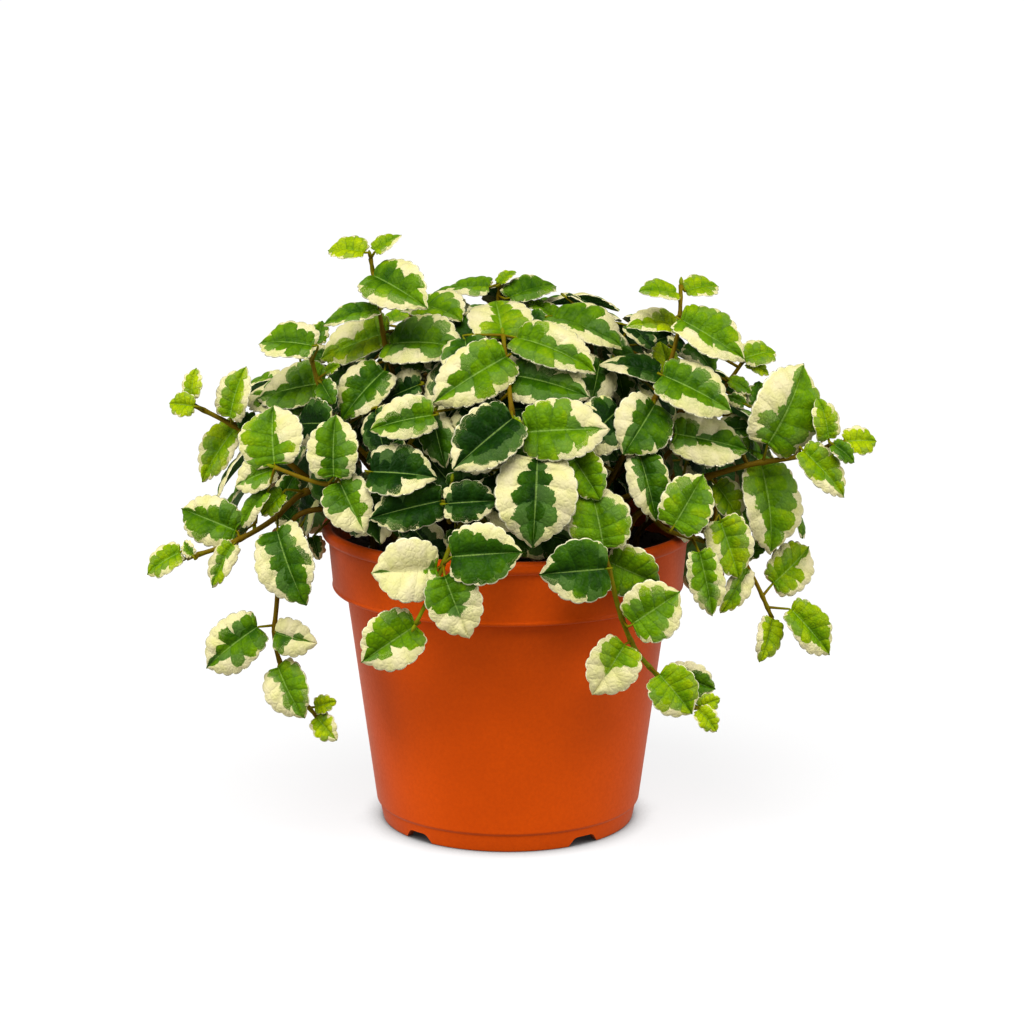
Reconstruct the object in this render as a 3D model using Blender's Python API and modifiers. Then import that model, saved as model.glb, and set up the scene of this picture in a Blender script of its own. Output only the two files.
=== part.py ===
"""A variegated creeping fig in a plastic nursery pot.

+Z is up, the front looks along -Y, and the origin is on the ground under the pot's axis.
Sizes are written in millimetres, and each mesh is made in metres.
"""

import math
import random
from collections import namedtuple

import bmesh
import bpy
from mathutils import Matrix, Vector
from mathutils.bvhtree import BVHTree

MM = 0.001

# Pot: a 120 mm nursery pot
POT_STEPS = 28
INNER_WALL = [(40.6, 5.2), (50.7, 76.1), (51.2, 78.6), (54.9, 79), (56.4, 92)]
LIP = [(57, 97.8), (58.4, 98.5), (59.5, 98.1), (60, 97.2), (60, 95.4), (59.3, 94.5), (58, 94.1)]
BAND_AND_LEDGE = [(56.5, 77.5), (52.4, 77.2)]
BODY_AND_FOOT = [(43, 6.4), (42.1, 5.6), (41, 0), (38.6, 0), (38.9, 3.6)]
FLOOR_TOP = 5.2
FLOOR_UNDERSIDE = 3.6
NOTCH_BEARINGS = (-44, 36, 136, -144)
NOTCH_WIDTH = 11.5
NOTCH_TOP_WIDTH = 7
NOTCH_HEIGHT = 3
DRAIN_RING = 27
DRAIN_COUNT = 6
DRAIN_RADIUS = 4.5

# Soil: a plug that stands on the floor, this far from the plastic
SEAT_GAP = 0.35
SOIL_EDGE = 88.5
SOIL_MIDDLE = 90.5
HOLE_ROOM = 1.3
HOLE_BOTTOM = 79
HOLE_COUNT = 40
HOLE_FIELD = 46

# Stems: radius at the soil and at the tip, and the line between the soil and the part in view
STEM_RADIUS = (1.25, 0.7)
ARM_RADIUS = (1.6, 0.8)
ARMS = ("arm_right", "arm_left_upper", "arm_left_lower")
STEM_SPACING = 15
STEM_END_GAP = 0.5
HOLE_SHARE = 0.5
HOLES_TRIED = 6
NECK = 7
MIDDLE_SHARE = 0.55
ARCH_OVER = 3
ARCH_TOP = 112
RISES = (0, 6, -5, 12)
SIDESTEPS = (0, 5, -5, 10, -10, 15, -15)

# Blades: the outline's own formula, how far its edge waves in and out, and how the face bends
THICKNESS = 0.7
ROOM = 0.35
USUAL_WIDTH = 0.8
TAPER = 0.5
LOBE = 0.12
ROUNDNESS = 0.7
POINTEDNESS = 0.55
EDGE_COUNTS = ((15, 3), (20, 4), (99, 5))
BACK_EDGE_COUNT = 4
EDGE_SPAN = (0.1, 0.86)
TOOTH = 0.075
TOOTH_CENTRE = 0.4
RIB_SHARES = ((0.45,), (0.36, 0.7))
BOW = (0.03, 0.09)
FOLD = (0.08, 0.3)
TWIST = (-0.3, 0.3)

# Stalks, from the blade to the middle of the stem
STALK_HALF_WIDTH = 0.42
STALK_LONGEST = 17
STALK_ELBOW = 1.6
STALK_STRAIGHT = 0.35
STALK_BACKMOST = -0.5
STALK_SUNK = 0.1

# Canopy: the dome that the outer leaves lie on
DOME_CENTRE = Vector((0, 0, 95))
DOME_RADII = Vector((88, 72, 72))
LAYER_STEP = 0.1
DEPTH_FROM_STEM = (-9, 4)
UNDER_DOME = 2
FACE_TURN = 0.5
FACE_TURN_MOST = 32

# The front is set out as a viewer's eye here sees it, on the upright plane through the pot's axis
EYE = Vector((1.35, -944.2, 305.8))

Stem = namedtuple("Stem", "name line leaves")
Leaf = namedtuple("Leaf", "base tip normal width seed edge_count")


def row(base, tip, elevation, width=None, layer=0, depth=None, bearing=None):
    """A leaf by the (across, up) of its stalk end and its tip, and the elevation that its face looks to."""
    return {
        "base": base,
        "tip": tip,
        "elevation": elevation,
        "width": width,
        "layer": layer,
        "depth": depth,
        "bearing": bearing,
    }


# Each stem in front: the (across, up) of its points in view from root to tip, their depth at the first
# and the last, and its leaves
FRONT_STEMS = {
    "crown_left": (
        [(-37, 147), (-40, 162), (-41, 168), (-43, 180), (-43.5, 183.5)],
        (-15, -15),
        [
            row((-45.5, 185.5), (-57, 186), 55),
            row((-42, 186), (-33.5, 191), 55),
            row((-42.5, 178), (-25.5, 167.5), 45, width=18),
            row((-41.5, 167), (-59, 162), 65, width=11.5),
            row((-38, 160), (-60, 151), 45),
            row((-37.5, 156), (-13.5, 154.5), 50),
            row((-39.5, 147.5), (-53.5, 131), 35, width=17.5),
        ],
    ),
    "shoulder_left": (
        [(-58.5, 134.5), (-60.5, 140), (-59, 145), (-61, 150), (-63.5, 154.5)],
        (-25, -20),
        [
            row((-62, 155.5), (-79.5, 156), 50),
            row((-59, 143.5), (-80.5, 138), 45),
            row((-63, 137.5), (-84, 139), 60, layer=1),
            row((-59.5, 143.5), (-55.5, 136.5), 30),
            row((-58, 147), (-53.5, 149.5), 30),
        ],
    ),
    "arm_left_upper": (
        [(-83, 127.5), (-89, 130), (-94.5, 132), (-99.5, 134.5), (-101, 136.5)],
        (-10, -10),
        [
            row((-101.5, 138.5), (-99.5, 148.5), 20),
            row((-100.5, 136), (-108.5, 137), 20),
            row((-89, 132.5), (-83.5, 149), 15, width=13.5),
            row((-87, 129.5), (-98.5, 111), 20, width=13.5),
            row((-85.5, 128.5), (-81, 134), 20, depth=-4),
        ],
    ),
    "left_front": (
        [(-54, 111.5), (-60.5, 111), (-67, 111.5), (-72, 114), (-75, 116)],
        (-50, -45),
        [
            row((-75, 117), (-75, 136.5), 25, width=22),
            row((-75, 115.5), (-88, 109.5), 25, layer=1),
            row((-56, 113), (-55, 133.5), 15, width=17),
            row((-54, 111), (-46, 94), 20, width=16),
            row((-77.5, 108), (-86, 96), 20, width=9, bearing=-55),
        ],
    ),
    "arm_left_lower": (
        [(-64, 108.5), (-72, 101), (-77, 98), (-83.5, 93.5), (-89.5, 91), (-98.5, 87.5), (-104, 86)],
        (-30, -30),
        [
            row((-87.5, 95), (-105.5, 102.5), 25, width=16),
            row((-106, 88), (-117, 80.5), 30),
            row((-102, 87), (-104.5, 92), 20),
            row((-89, 90.5), (-96, 76), 15, width=9),
            row((-74.5, 95), (-65.5, 70), 15, width=20, depth=-40),
            row((-72.5, 107.5), (-79.5, 100), 20),
        ],
    ),
    "hang_left": (
        [(-70, 98), (-75, 72), (-75, 65), (-76, 61), (-75.5, 53.5), (-75, 49), (-68, 40), (-62.5, 32.5)],
        (-35, -35),
        [
            row((-81.5, 63), (-98.5, 49), 10, width=17.5),
            row((-75.5, 61), (-62, 57.5), 10),
            row((-75, 49.5), (-66.5, 32), 10, width=16),
            row((-63, 36), (-56, 38), 20),
            row((-62.5, 32.5), (-56, 24.5), 20),
        ],
    ),
    "hang_front_left": (
        [(-17, 93.5), (-19.5, 87), (-21.5, 82), (-26, 72), (-30, 64)],
        (-64, -73),
        [
            row((-23, 82.5), (-44.5, 81), 15, width=19.5),
            row((-20.5, 80), (-12.5, 59), 10, width=17),
            row((-30, 63.5), (-48, 51), 15, width=18),
            row((-18, 86.5), (5, 88), 20, width=19),
        ],
    ),
    "crown_centre": (
        [(2, 132), (0, 137.5), (-2, 143), (1, 147), (0, 153.5), (-1.5, 159)],
        (-50, -32),
        [
            row((-1.5, 158), (-4, 170), 60, width=20.5),
            row((-0.5, 152), (-24.5, 136.5), 30, width=19),
            row((3, 158), (28.5, 146.5), 48, width=17),
            row((1.5, 146), (26.5, 138.5), 45, layer=1),
            row((1.5, 132), (-18, 115), 30, width=19, layer=1),
            row((4.5, 129.5), (-2.5, 129), 30, width=6.5, layer=1, depth=-61),
        ],
    ),
    "crown_back_centre": (
        [(-4, 155), (-3.5, 170), (-3, 173.5), (-2.5, 175.5)],
        (5, 5),
        [
            row((-6, 174.5), (-20, 173.5), 65),
            row((-2.5, 175.5), (2.5, 179.5), 60),
            row((0.5, 171), (15.5, 174.5), 65, width=12.5),
        ],
    ),
    "crown_back_left": (
        [(-32, 150), (-32, 158), (-31, 165)],
        (4, 6),
        [
            row((-29, 168.5), (-14.5, 163.5), 70, depth=3),
            row((-38.5, 163), (-22, 166.5), 72, depth=8),
        ],
    ),
    "centre_low": (
        [(8, 108), (9, 116), (8, 123), (6, 128)],
        (-58, -54),
        [
            row((6, 127.5), (33, 128.5), 30, width=20.5),
            row((9.5, 118.5), (8, 89), 15, width=25),
            row((20.5, 120), (30, 105), 20, layer=2),
        ],
    ),
    "centre_left": (
        [(-36, 106), (-37, 115), (-29, 127), (-24, 134)],
        (-50, -45),
        [
            row((-24, 133), (-44.5, 128), 35, width=14.5),
            row((-24, 132.5), (-20, 115.5), 30, width=11, layer=1),
            row((-44, 114.5), (-22.5, 112.5), 30, width=18, layer=1),
        ],
    ),
    "front_low_left": (
        [(-19, 98), (-20, 105), (-18, 111)],
        (-60, -58),
        [
            row((-21.5, 105), (-45, 99), 25, width=15, layer=1),
            row((-19, 108.5), (-3, 111), 20, layer=2),
            row((-20, 104), (-2.5, 105), 25, layer=1),
        ],
    ),
    "hang_front_right": (
        [
            (30, 90.5),
            (32, 85),
            (33.5, 78.5),
            (35.5, 71),
            (37.5, 64.5),
            (39, 59.5),
            (43.5, 53),
            (48.5, 47),
            (59.5, 37),
            (62, 35.5),
        ],
        (-58, -58),
        [
            row((31, 89.5), (26, 111), 25, width=20),
            row((32, 82.5), (10, 80.5), 15, width=19.5),
            row((32.5, 85), (49.5, 77.5), 15, width=16, layer=1),
            row((40.5, 64), (56, 75), 15, width=19),
            row((38, 57), (27.5, 40), 10, width=16.5),
            row((49.5, 47), (60.5, 33.5), 10, width=15.5, depth=-64),
            row((53.5, 47), (68, 42), 10, width=11.5, depth=-51),
            row((62.5, 36), (69.5, 39), 20),
            row((62.5, 35), (68.5, 27.5), 20),
        ],
    ),
    "crown_right": (
        [(47.5, 139), (51, 147.5), (52, 154), (53.5, 158), (55, 164), (55, 170), (55, 175)],
        (-35, -20),
        [
            row((53.5, 172.5), (41.5, 173), 60),
            row((56.5, 173), (67, 174.5), 60),
            row((55, 164), (76, 150.5), 45),
            row((54.5, 161.5), (37.5, 161.5), 65),
            row((51.5, 146.5), (48.5, 157), 45, depth=-14),
            row((49.5, 146), (72, 134), 40),
            row((48.5, 147), (29, 149.5), 50, layer=1),
            row((47, 136.5), (37, 120), 25, width=19),
        ],
    ),
    "crown_back_right": (
        [(26, 145), (27, 156), (26, 165)],
        (-5, -3),
        [
            row((14, 164.5), (37, 154.5), 55, depth=-8),
            row((39, 162), (46.5, 154), 55, depth=0),
            row((15.5, 164.5), (5, 169.5), 65, depth=2),
        ],
    ),
    "shoulder_right": (
        [(70.5, 143), (73, 145.5), (74.5, 148), (75.5, 151)],
        (-5, -5),
        [
            row((75.5, 151.5), (85.5, 153.5), 50),
            row((76.5, 150), (83.5, 146), 45),
            row((71, 144.5), (78, 140), 40),
        ],
    ),
    "arm_right": (
        [(64.5, 113), (75, 115), (80.5, 118), (86, 119.5), (93, 119.5), (102, 123.5), (107.5, 124.5)],
        (-30, -30),
        [
            row((83.5, 123.5), (94.5, 150), 10, width=25),
            row((81.5, 116.5), (85, 87), 15, width=22.5),
            row((103, 125.5), (99, 139), 15),
            row((95, 121.5), (108.5, 106), 25, width=13),
            row((108.5, 124.5), (118.5, 124.5), 30),
            row((104.5, 123.5), (111.5, 117.5), 30),
            row((67, 110.5), (75, 97.5), 20, layer=2),
        ],
    ),
    "right_low": (
        [(47.5, 96.5), (53, 95), (59, 93), (63.5, 91.5)],
        (-45, -45),
        [
            row((53.5, 96.5), (63, 114), 20, width=17),
            row((68.5, 98.5), (75, 79), 10, width=16),
            row((62, 88), (66.5, 66.5), 10, width=12),
        ],
    ),
    "hang_right": (
        [(73.5, 90), (78.5, 81), (83.5, 75), (85, 71), (86, 66)],
        (-28, -28),
        [
            row((77.5, 82.5), (69, 67.5), 10, width=9),
            row((86, 77.5), (97.5, 90), 20, width=15.5),
            row((92, 69), (105, 53.5), 15, width=14),
            row((86, 65.5), (82, 51), 10, width=10),
        ],
    ),
    "right_inner": (
        [(40, 105), (42, 113), (46, 123.5)],
        (-46, -42),
        [
            row((42.5, 119.5), (48, 98), 20, width=14, layer=1),
            row((53.5, 127), (77.5, 121.5), 35, width=18, layer=1),
        ],
    ),
}

# Each stem behind: its bearing from +X round by the back, and how far down the dome it runs, in degrees
# from the top. Past 100 it hangs.
BACK_STEMS = {
    "back_inner": [(25, 16, 50), (70, 12, 50), (112, 14, 50), (152, 16, 50)],
    "back_outer": [
        (4, 50, 90),
        (32, 46, 98),
        (60, 48, 98),
        (88, 46, 96),
        (116, 48, 98),
        (146, 46, 98),
        (176, 50, 88),
    ],
    "back_hang": [(48, 78, 112), (74, 78, 130), (102, 80, 132)],
}
BACK_SPACING = 15.5
BACK_LENGTHS = (20, 27)
BACK_TIP_SHARE = 0.65
BACK_SWAY = 4
BACK_DEPTH = 0.93
BACK_EQUATOR = 95
BACK_LEAN = 0.25
BACK_SPREAD = 55
BACK_ASIDE = 4
BACK_LIFT = 2
IN_CANOPY = 0.8

# The ways that a leaf is moved until it has room: nearer or farther and tilted in front, turned, raised or
# smaller behind
FRONT_SLIDES = (0, -2, 2, -4, 4, -6, 6, -8, 8, -11, 11, 14)
FRONT_TILTS = (0, 9, -9, 18, -18, 27)
BACK_TURNS = (0, 22, -22, 44, -44)
BACK_RISES = (0, 3, -3, 6, 9, -6)
BACK_SIZES = (1, 0.8)


def seen(point, depth):
    """Where a thing seen at this (across, up) on the upright plane is when it lies at this depth."""
    on_plane = Vector((point[0], 0, point[1]))
    return EYE + (on_plane - EYE) * (depth - EYE.y) / -EYE.y


def dome_depth(point, layer):
    """The depth at which the view of this (across, up) meets the dome's near side, or None past its edge."""
    scale = 1 - LAYER_STEP * layer
    ray = seen(point, 0) - EYE
    start = Vector((a / (r * scale) for a, r in zip(EYE - DOME_CENTRE, DOME_RADII)))
    along = Vector((a / (r * scale) for a, r in zip(ray, DOME_RADII)))
    half_b = start.dot(along)
    root = half_b**2 - along.dot(along) * (start.dot(start) - 1)
    if root < 0:
        return None
    return EYE.y + ray.y * (-half_b - math.sqrt(root)) / along.dot(along)


def dome_point(bearing, polar, scale):
    """A point of the dome, or of a smaller one inside it."""
    a, p = math.radians(bearing), math.radians(polar)
    unit = Vector((math.sin(p) * math.cos(a), math.sin(p) * math.sin(a), math.cos(p)))
    return DOME_CENTRE + Vector((u * r * scale for u, r in zip(unit, DOME_RADII)))


def dome_normal(point):
    """The way that the dome faces at this point."""
    return Vector((a / r**2 for a, r in zip(point - DOME_CENTRE, DOME_RADII))).normalized()


def smooth_line(points, spacing):
    """Points this far apart, or a little less, on a smooth curve through the given ones."""
    ends = [2 * points[0] - points[1], *points, 2 * points[-1] - points[-2]]
    fine = []
    for p0, p1, p2, p3 in zip(ends, ends[1:], ends[2:], ends[3:]):
        for i in range(8):
            t = i / 8
            bend = (2 * p0 - 5 * p1 + 4 * p2 - p3) * t**2 + (3 * p1 - p0 - 3 * p2 + p3) * t**3
            fine.append(0.5 * (2 * p1 + (p2 - p0) * t + bend))
    fine.append(points[-1])
    reach = [0]
    for a, b in zip(fine, fine[1:]):
        reach.append(reach[-1] + (b - a).length)
    count = math.ceil(reach[-1] / spacing)
    line = []
    at = 0
    for i in range(count + 1):
        want = reach[-1] * i / count
        while at < len(reach) - 2 and reach[at + 1] < want:
            at += 1
        line.append(fine[at].lerp(fine[at + 1], (want - reach[at]) / (reach[at + 1] - reach[at])))
    return line


def stalk_root(line, leaf):
    """Where the leaf's stalk springs from its stem: near, and rather behind the leaf than beside it."""
    back = (leaf.base - leaf.tip).normalized()
    places = [a.lerp(b, i / 4) for a, b in zip(line[1:], line[2:]) for i in range(4)]
    places.append(line[-1].lerp(line[-2], 0.05))

    def cost(place):
        away = place - leaf.base
        return away.length * (1.6 - away.normalized().dot(back)) + 0.5 * away.length

    return min(places, key=cost)


def holes():
    """The (x, y) of the stems' holes: a sunflower's pattern on the soil."""
    golden = math.radians(137.508)
    reach = [HOLE_FIELD * math.sqrt((i + 0.5) / HOLE_COUNT) for i in range(HOLE_COUNT)]
    return [Vector((r * math.cos(i * golden), r * math.sin(i * golden), 0)) for i, r in enumerate(reach)]


def front_route(name):
    """The points in view of a stem in front."""
    points, (first, last), _ = FRONT_STEMS[name]
    shares = [i / (len(points) - 1) for i in range(len(points))]
    return [seen(point, first + (last - first) * share) for point, share in zip(points, shares)]


def back_route(bearing, top, bottom, draw):
    """Points down the dome, swaying a little. Under its equator the stem hangs straight down."""
    sway = draw.uniform(-BACK_SWAY, BACK_SWAY)
    route = []
    steps = max(3, round((bottom - top) / 12))
    for i in range(steps + 1):
        polar = top + (bottom - top) * i / steps
        point = dome_point(bearing + sway * math.sin(i * 1.7), min(polar, BACK_EQUATOR), BACK_DEPTH)
        point.z -= DOME_RADII.z * math.radians(max(polar - BACK_EQUATOR, 0))
        route.append(point)
    return route


def from_soil(hole, route, sideways, rise):
    """The whole line of a stem: up its hole, through the canopy and along its route."""
    first = route[0]
    out = Vector((first.x - hole.x, first.y - hole.y, 0))
    side = Vector((-out.y, out.x, 0)).normalized() if out.length > 1 else Vector((1, 0, 0))
    foot = hole + Vector((0, 0, HOLE_BOTTOM + STEM_END_GAP))
    neck = hole + Vector((0, 0, SOIL_MIDDLE + NECK))
    middle = neck.lerp(first, MIDDLE_SHARE) + side * sideways
    middle.z = max(middle.z, min(first.z + ARCH_OVER, ARCH_TOP)) + rise
    return [foot, hole + Vector((0, 0, SOIL_MIDDLE)), neck, middle, *route]


def tube(name, line, radii):
    """A tapering stem along the line, as a mesh object."""
    curve = bpy.data.curves.new(name, "CURVE")
    curve.dimensions = "3D"
    curve.bevel_depth = MM
    curve.bevel_resolution = 0
    curve.use_fill_caps = True
    spline = curve.splines.new("POLY")
    spline.points.add(len(line) - 1)
    for i, (point, place) in enumerate(zip(spline.points, line)):
        point.co = (*(place * MM), 1)
        point.radius = radii[0] + (radii[1] - radii[0]) * i / (len(line) - 1)
    return as_mesh(bpy.data.objects.new(name, curve))


def as_mesh(curve_object):
    """The curve's shape as a closed mesh object of the same name. The curve is removed."""
    bpy.context.scene.collection.objects.link(curve_object)
    graph = bpy.context.evaluated_depsgraph_get()
    mesh = bpy.data.meshes.new_from_object(curve_object.evaluated_get(graph))
    name = curve_object.name
    matrix = curve_object.matrix_world.copy()
    bpy.data.objects.remove(curve_object)
    bm = bmesh.new()
    bm.from_mesh(mesh)
    bmesh.ops.remove_doubles(bm, verts=bm.verts, dist=0.00001)
    bm.to_mesh(mesh)
    bm.free()
    made = bpy.data.objects.new(name, mesh)
    made.matrix_world = matrix
    return made


def edge_point(t, length, width):
    """(along, across) of the blade's edge, from the stalk at 0 to the tip at 1, with lobes at the stalk."""
    taper = TAPER * (1 - math.cos(math.pi * t / 2)) + (1 - TAPER) * (1 - math.cos(math.pi * t)) / 2
    along = length * (taper - LOBE * math.sin(2 * math.pi * t) * (1 - t))
    across = 0.5 * width * math.sin(math.pi * t) ** (ROUNDNESS + POINTEDNESS * t)
    return along, across


def blade_height(along, across, length, draw):
    """How far the blade's middle surface stands over the line from stalk to tip."""
    share = along / length
    bow = draw["bow"] * length * 4 * share * (1 - share)
    fold = draw["fold"] * abs(across)
    twist = draw["twist"] * across * (share - TOOTH_CENTRE)
    return bow + fold + twist


def leaf_draw(seed):
    """How one leaf bows along its rib, folds up from it and twists."""
    draw = random.Random(seed)
    return {
        "bow": draw.uniform(*BOW),
        "fold": draw.uniform(*FOLD),
        "twist": draw.uniform(*TWIST),
    }


def add_blade(bm, leaf, thickness, swell=1.0):
    """Adds the leaf's closed blade, and returns its wall at the stalk."""
    length = (leaf.tip - leaf.base).length
    width = leaf.width * swell
    along = (leaf.tip - leaf.base) / length
    across = leaf.normal.cross(along).normalized()
    up = along.cross(across)
    turn = Matrix((along, across, up)).transposed()
    draw = leaf_draw(leaf.seed)

    def corner(x, y):
        height = blade_height(x, y, length, draw) + thickness / 2
        return bm.verts.new(leaf.base + turn @ Vector((x, y, height)))

    first, last = EDGE_SPAN
    steps = [first + (last - first) * i / (leaf.edge_count - 1) for i in range(leaf.edge_count)]
    tip = corner(length, 0)
    shares = RIB_SHARES[leaf.edge_count > 4]
    ribs = [corner(share * length, 0) for share in shares]
    faces = []
    stalk = []
    for side in (-1, 1):
        edge = [corner(0, side * STALK_HALF_WIDTH)]
        stalk.append(edge[0])
        for i, t in enumerate(steps):
            x, y = edge_point(t, length, width)
            grow = 1 + TOOTH * (-1) ** i
            middle = TOOTH_CENTRE * length
            edge.append(corner(middle + (x - middle) * grow, side * y * grow))
        edge.append(tip)
        half = len(steps) // 2 + 1 if len(ribs) > 1 else len(edge) - 1
        triangles = [(ribs[0], a, b) for a, b in zip(edge[:half], edge[1:])]
        if len(ribs) > 1:
            triangles.append((ribs[0], edge[half], ribs[1]))
            triangles += [(ribs[1], a, b) for a, b in zip(edge[half:], edge[half + 1 :])]
        for triangle in triangles:
            faces.append(bm.faces.new(triangle if side < 0 else triangle[::-1]))
    faces.append(bm.faces.new((ribs[0], stalk[1], stalk[0])))
    made = bmesh.ops.extrude_face_region(bm, geom=faces)
    under = [v for v in made["geom"] if isinstance(v, bmesh.types.BMVert)]
    bmesh.ops.translate(bm, verts=under, vec=-thickness * up)
    wall = [f for f in stalk[0].link_faces if stalk[1] in f.verts and len(f.verts) == 4]
    return wall[0]


def stalk_places(leaf, root):
    """The points of the stalk from the blade to just past the stem's middle, with an elbow if it turns."""
    back = (leaf.base - leaf.tip).normalized()
    end = root + (root - leaf.base).normalized() * STALK_SUNK
    if (end - leaf.base).normalized().dot(back) > STALK_STRAIGHT:
        return [leaf.base, end]
    return [leaf.base, leaf.base + back * STALK_ELBOW, end]


def add_stalk(bm, wall, leaf, root):
    """Draws the blade's wall out along the stalk, turning it square to the way that it goes."""
    places = stalk_places(leaf, root)
    way = (leaf.base - leaf.tip).normalized()
    for i, place in enumerate(places[1:], start=1):
        last = places[min(i + 1, len(places) - 1)] - places[i]
        ahead = last if i < len(places) - 1 else place - places[i - 1]
        to_come = (ahead.normalized() + (place - places[i - 1]).normalized()).normalized()
        made = bmesh.ops.extrude_discrete_faces(bm, faces=[wall])
        wall = made["faces"][0]
        middle = wall.calc_center_median()
        turn = way.rotation_difference(to_come).to_matrix()
        for v in wall.verts:
            v.co = place + turn @ (v.co - middle)
        way = to_come


def tree_of(build):
    """The search tree of the mesh that the function builds."""
    bm = bmesh.new()
    build(bm)
    tree = BVHTree.FromBMesh(bm)
    bm.free()
    return tree


Placed = namedtuple("Placed", "kind stem tree middle reach")


def is_clear(blade, stalk, stem, middle, reach, placed):
    """Whether the blade and its stalk stay clear of all that is placed. Stalks may meet on their own stem."""
    for other in placed:
        if other.middle is not None and (other.middle - middle).length > other.reach + reach:
            continue
        if blade.overlap(other.tree):
            return False
        own = other.stem == stem and other.kind == "rod"
        if not own and stalk.overlap(other.tree):
            return False
    return True


def place_leaf(candidates, stem, placed):
    """The first of the leaves that has room, or None. It is added to what is placed."""
    for leaf in candidates:
        root = stalk_root(stem.line, leaf)
        back = (leaf.base - leaf.tip).normalized()
        aside = (root - leaf.base).normalized().dot(back)
        if (root - leaf.base).length > STALK_LONGEST or aside < STALK_BACKMOST:
            continue
        middle = (leaf.base + leaf.tip) / 2
        reach = (leaf.tip - leaf.base).length / 2 + STALK_LONGEST
        blade = tree_of(lambda bm: add_blade(bm, leaf, THICKNESS + 2 * ROOM, 1.04))
        places = stalk_places(leaf, root)
        stalk = line_tree(places, [STALK_HALF_WIDTH + ROOM] * 2)
        if not is_clear(blade, stalk, stem.name, middle, reach, placed):
            continue
        blade = tree_of(lambda bm: add_blade(bm, leaf, THICKNESS))
        stalk = line_tree(places, [STALK_HALF_WIDTH] * 2)
        placed.append(Placed("blade", stem.name, blade, middle, reach))
        placed.append(Placed("rod", stem.name, stalk, middle, reach))
        return leaf
    return None


def front_candidates(spec, stem, seed):
    """The leaf as the viewer sees it, then the same leaf nearer or farther and tilted."""
    near = nearest_depth(spec, stem)
    for tilt in FRONT_TILTS:
        for slide in FRONT_SLIDES:
            base = seen(spec["base"], near + slide)
            normal = face_way(spec, base, spec["elevation"] + tilt)
            ray = seen(spec["tip"], 0) - EYE
            tip = EYE + ray * normal.dot(base - EYE) / normal.dot(ray)
            width = spec["width"] or USUAL_WIDTH * (tip - base).length
            length = (tip - base).length
            edge_count = next(number for longest, number in EDGE_COUNTS if length < longest)
            yield Leaf(base, tip, normal, width, seed, edge_count)


def nearest_depth(spec, stem):
    """The depth of a leaf's stalk end: as told, or on the dome, but always near its stem."""
    if spec["depth"] is not None:
        return spec["depth"]
    own = min(stem.line, key=lambda p: (view_of(p) - Vector(spec["base"])).length)
    depth = dome_depth(spec["base"], spec["layer"])
    if depth is None:
        return own.y - UNDER_DOME
    nearest, farthest = DEPTH_FROM_STEM
    return min(max(depth, own.y + nearest), own.y + farthest)


def view_of(point):
    """The (across, up) at which a point is seen on the upright plane."""
    on_plane = EYE + (point - EYE) * -EYE.y / (point.y - EYE.y)
    return Vector((on_plane.x, on_plane.z))


def face_way(spec, base, elevation):
    """The way that a front leaf faces: up by its elevation, and round as the dome is there."""
    bearing = spec["bearing"]
    if bearing is None:
        out = Vector((base.x / DOME_RADII.x**2, base.y / DOME_RADII.y**2))
        bearing = FACE_TURN * math.degrees(math.atan2(out.x, -out.y))
        bearing = min(max(bearing, -FACE_TURN_MOST), FACE_TURN_MOST)
    b, e = math.radians(bearing), math.radians(elevation)
    return Vector((math.cos(e) * math.sin(b), -math.cos(e) * math.cos(b), math.sin(e)))


def back_candidates(place, way, side, length, seed):
    """A leaf beside its stem, lying on the dome, then the same leaf turned, raised or smaller."""
    normal = (dome_normal(place) + Vector((0, 0, BACK_LEAN))).normalized()
    flat_way = (way - way.project(normal)).normalized()
    for size in BACK_SIZES:
        for turn in BACK_TURNS:
            along = Matrix.Rotation(side * math.radians(BACK_SPREAD + turn), 3, normal) @ flat_way
            for rise in BACK_RISES:
                base = place + along * BACK_ASIDE + normal * (BACK_LIFT + rise)
                tip = base + along * length * size
                yield Leaf(base, tip, normal, USUAL_WIDTH * length * size, seed, BACK_EDGE_COUNT)


def grow_stems(placed):
    """Every stem's line from the soil up, each in the free hole that suits it."""
    free = holes()
    draw = random.Random(11)
    routes = {name: front_route(name) for name in FRONT_STEMS}
    for group, rows in BACK_STEMS.items():
        for i, (bearing, top, bottom) in enumerate(rows):
            routes[f"{group}_{i + 1}"] = back_route(bearing, top, bottom, draw)
    stems = []
    for name, route in routes.items():
        aim = Vector((route[0].x, route[0].y, 0)) * HOLE_SHARE
        free.sort(key=lambda hole: (hole - aim).length)
        line, tube_made = clear_line(name, free, route, placed)
        stems.append(Stem(name, line, []))
        placed.append(Placed("rod", name, tube_made, None, 0))
    return stems


def stem_radii(name):
    """The radius of this stem at the soil and at its tip."""
    return ARM_RADIUS if name in ARMS else STEM_RADIUS


def clear_line(name, free, route, placed):
    """The first line to a near hole, straight or bent aside, that meets neither the pot nor another stem."""
    radii = stem_radii(name)
    for hole in free[:HOLES_TRIED]:
        for rise in RISES:
            for sideways in SIDESTEPS:
                line = smooth_line(from_soil(hole, route, sideways, rise), STEM_SPACING)
                trial = line_tree(line, [r + ROOM for r in radii])
                if not any(trial.overlap(other.tree) for other in placed):
                    free.remove(hole)
                    return line, line_tree(line, radii)
    raise ValueError(f"no clear line for {name}")


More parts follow.
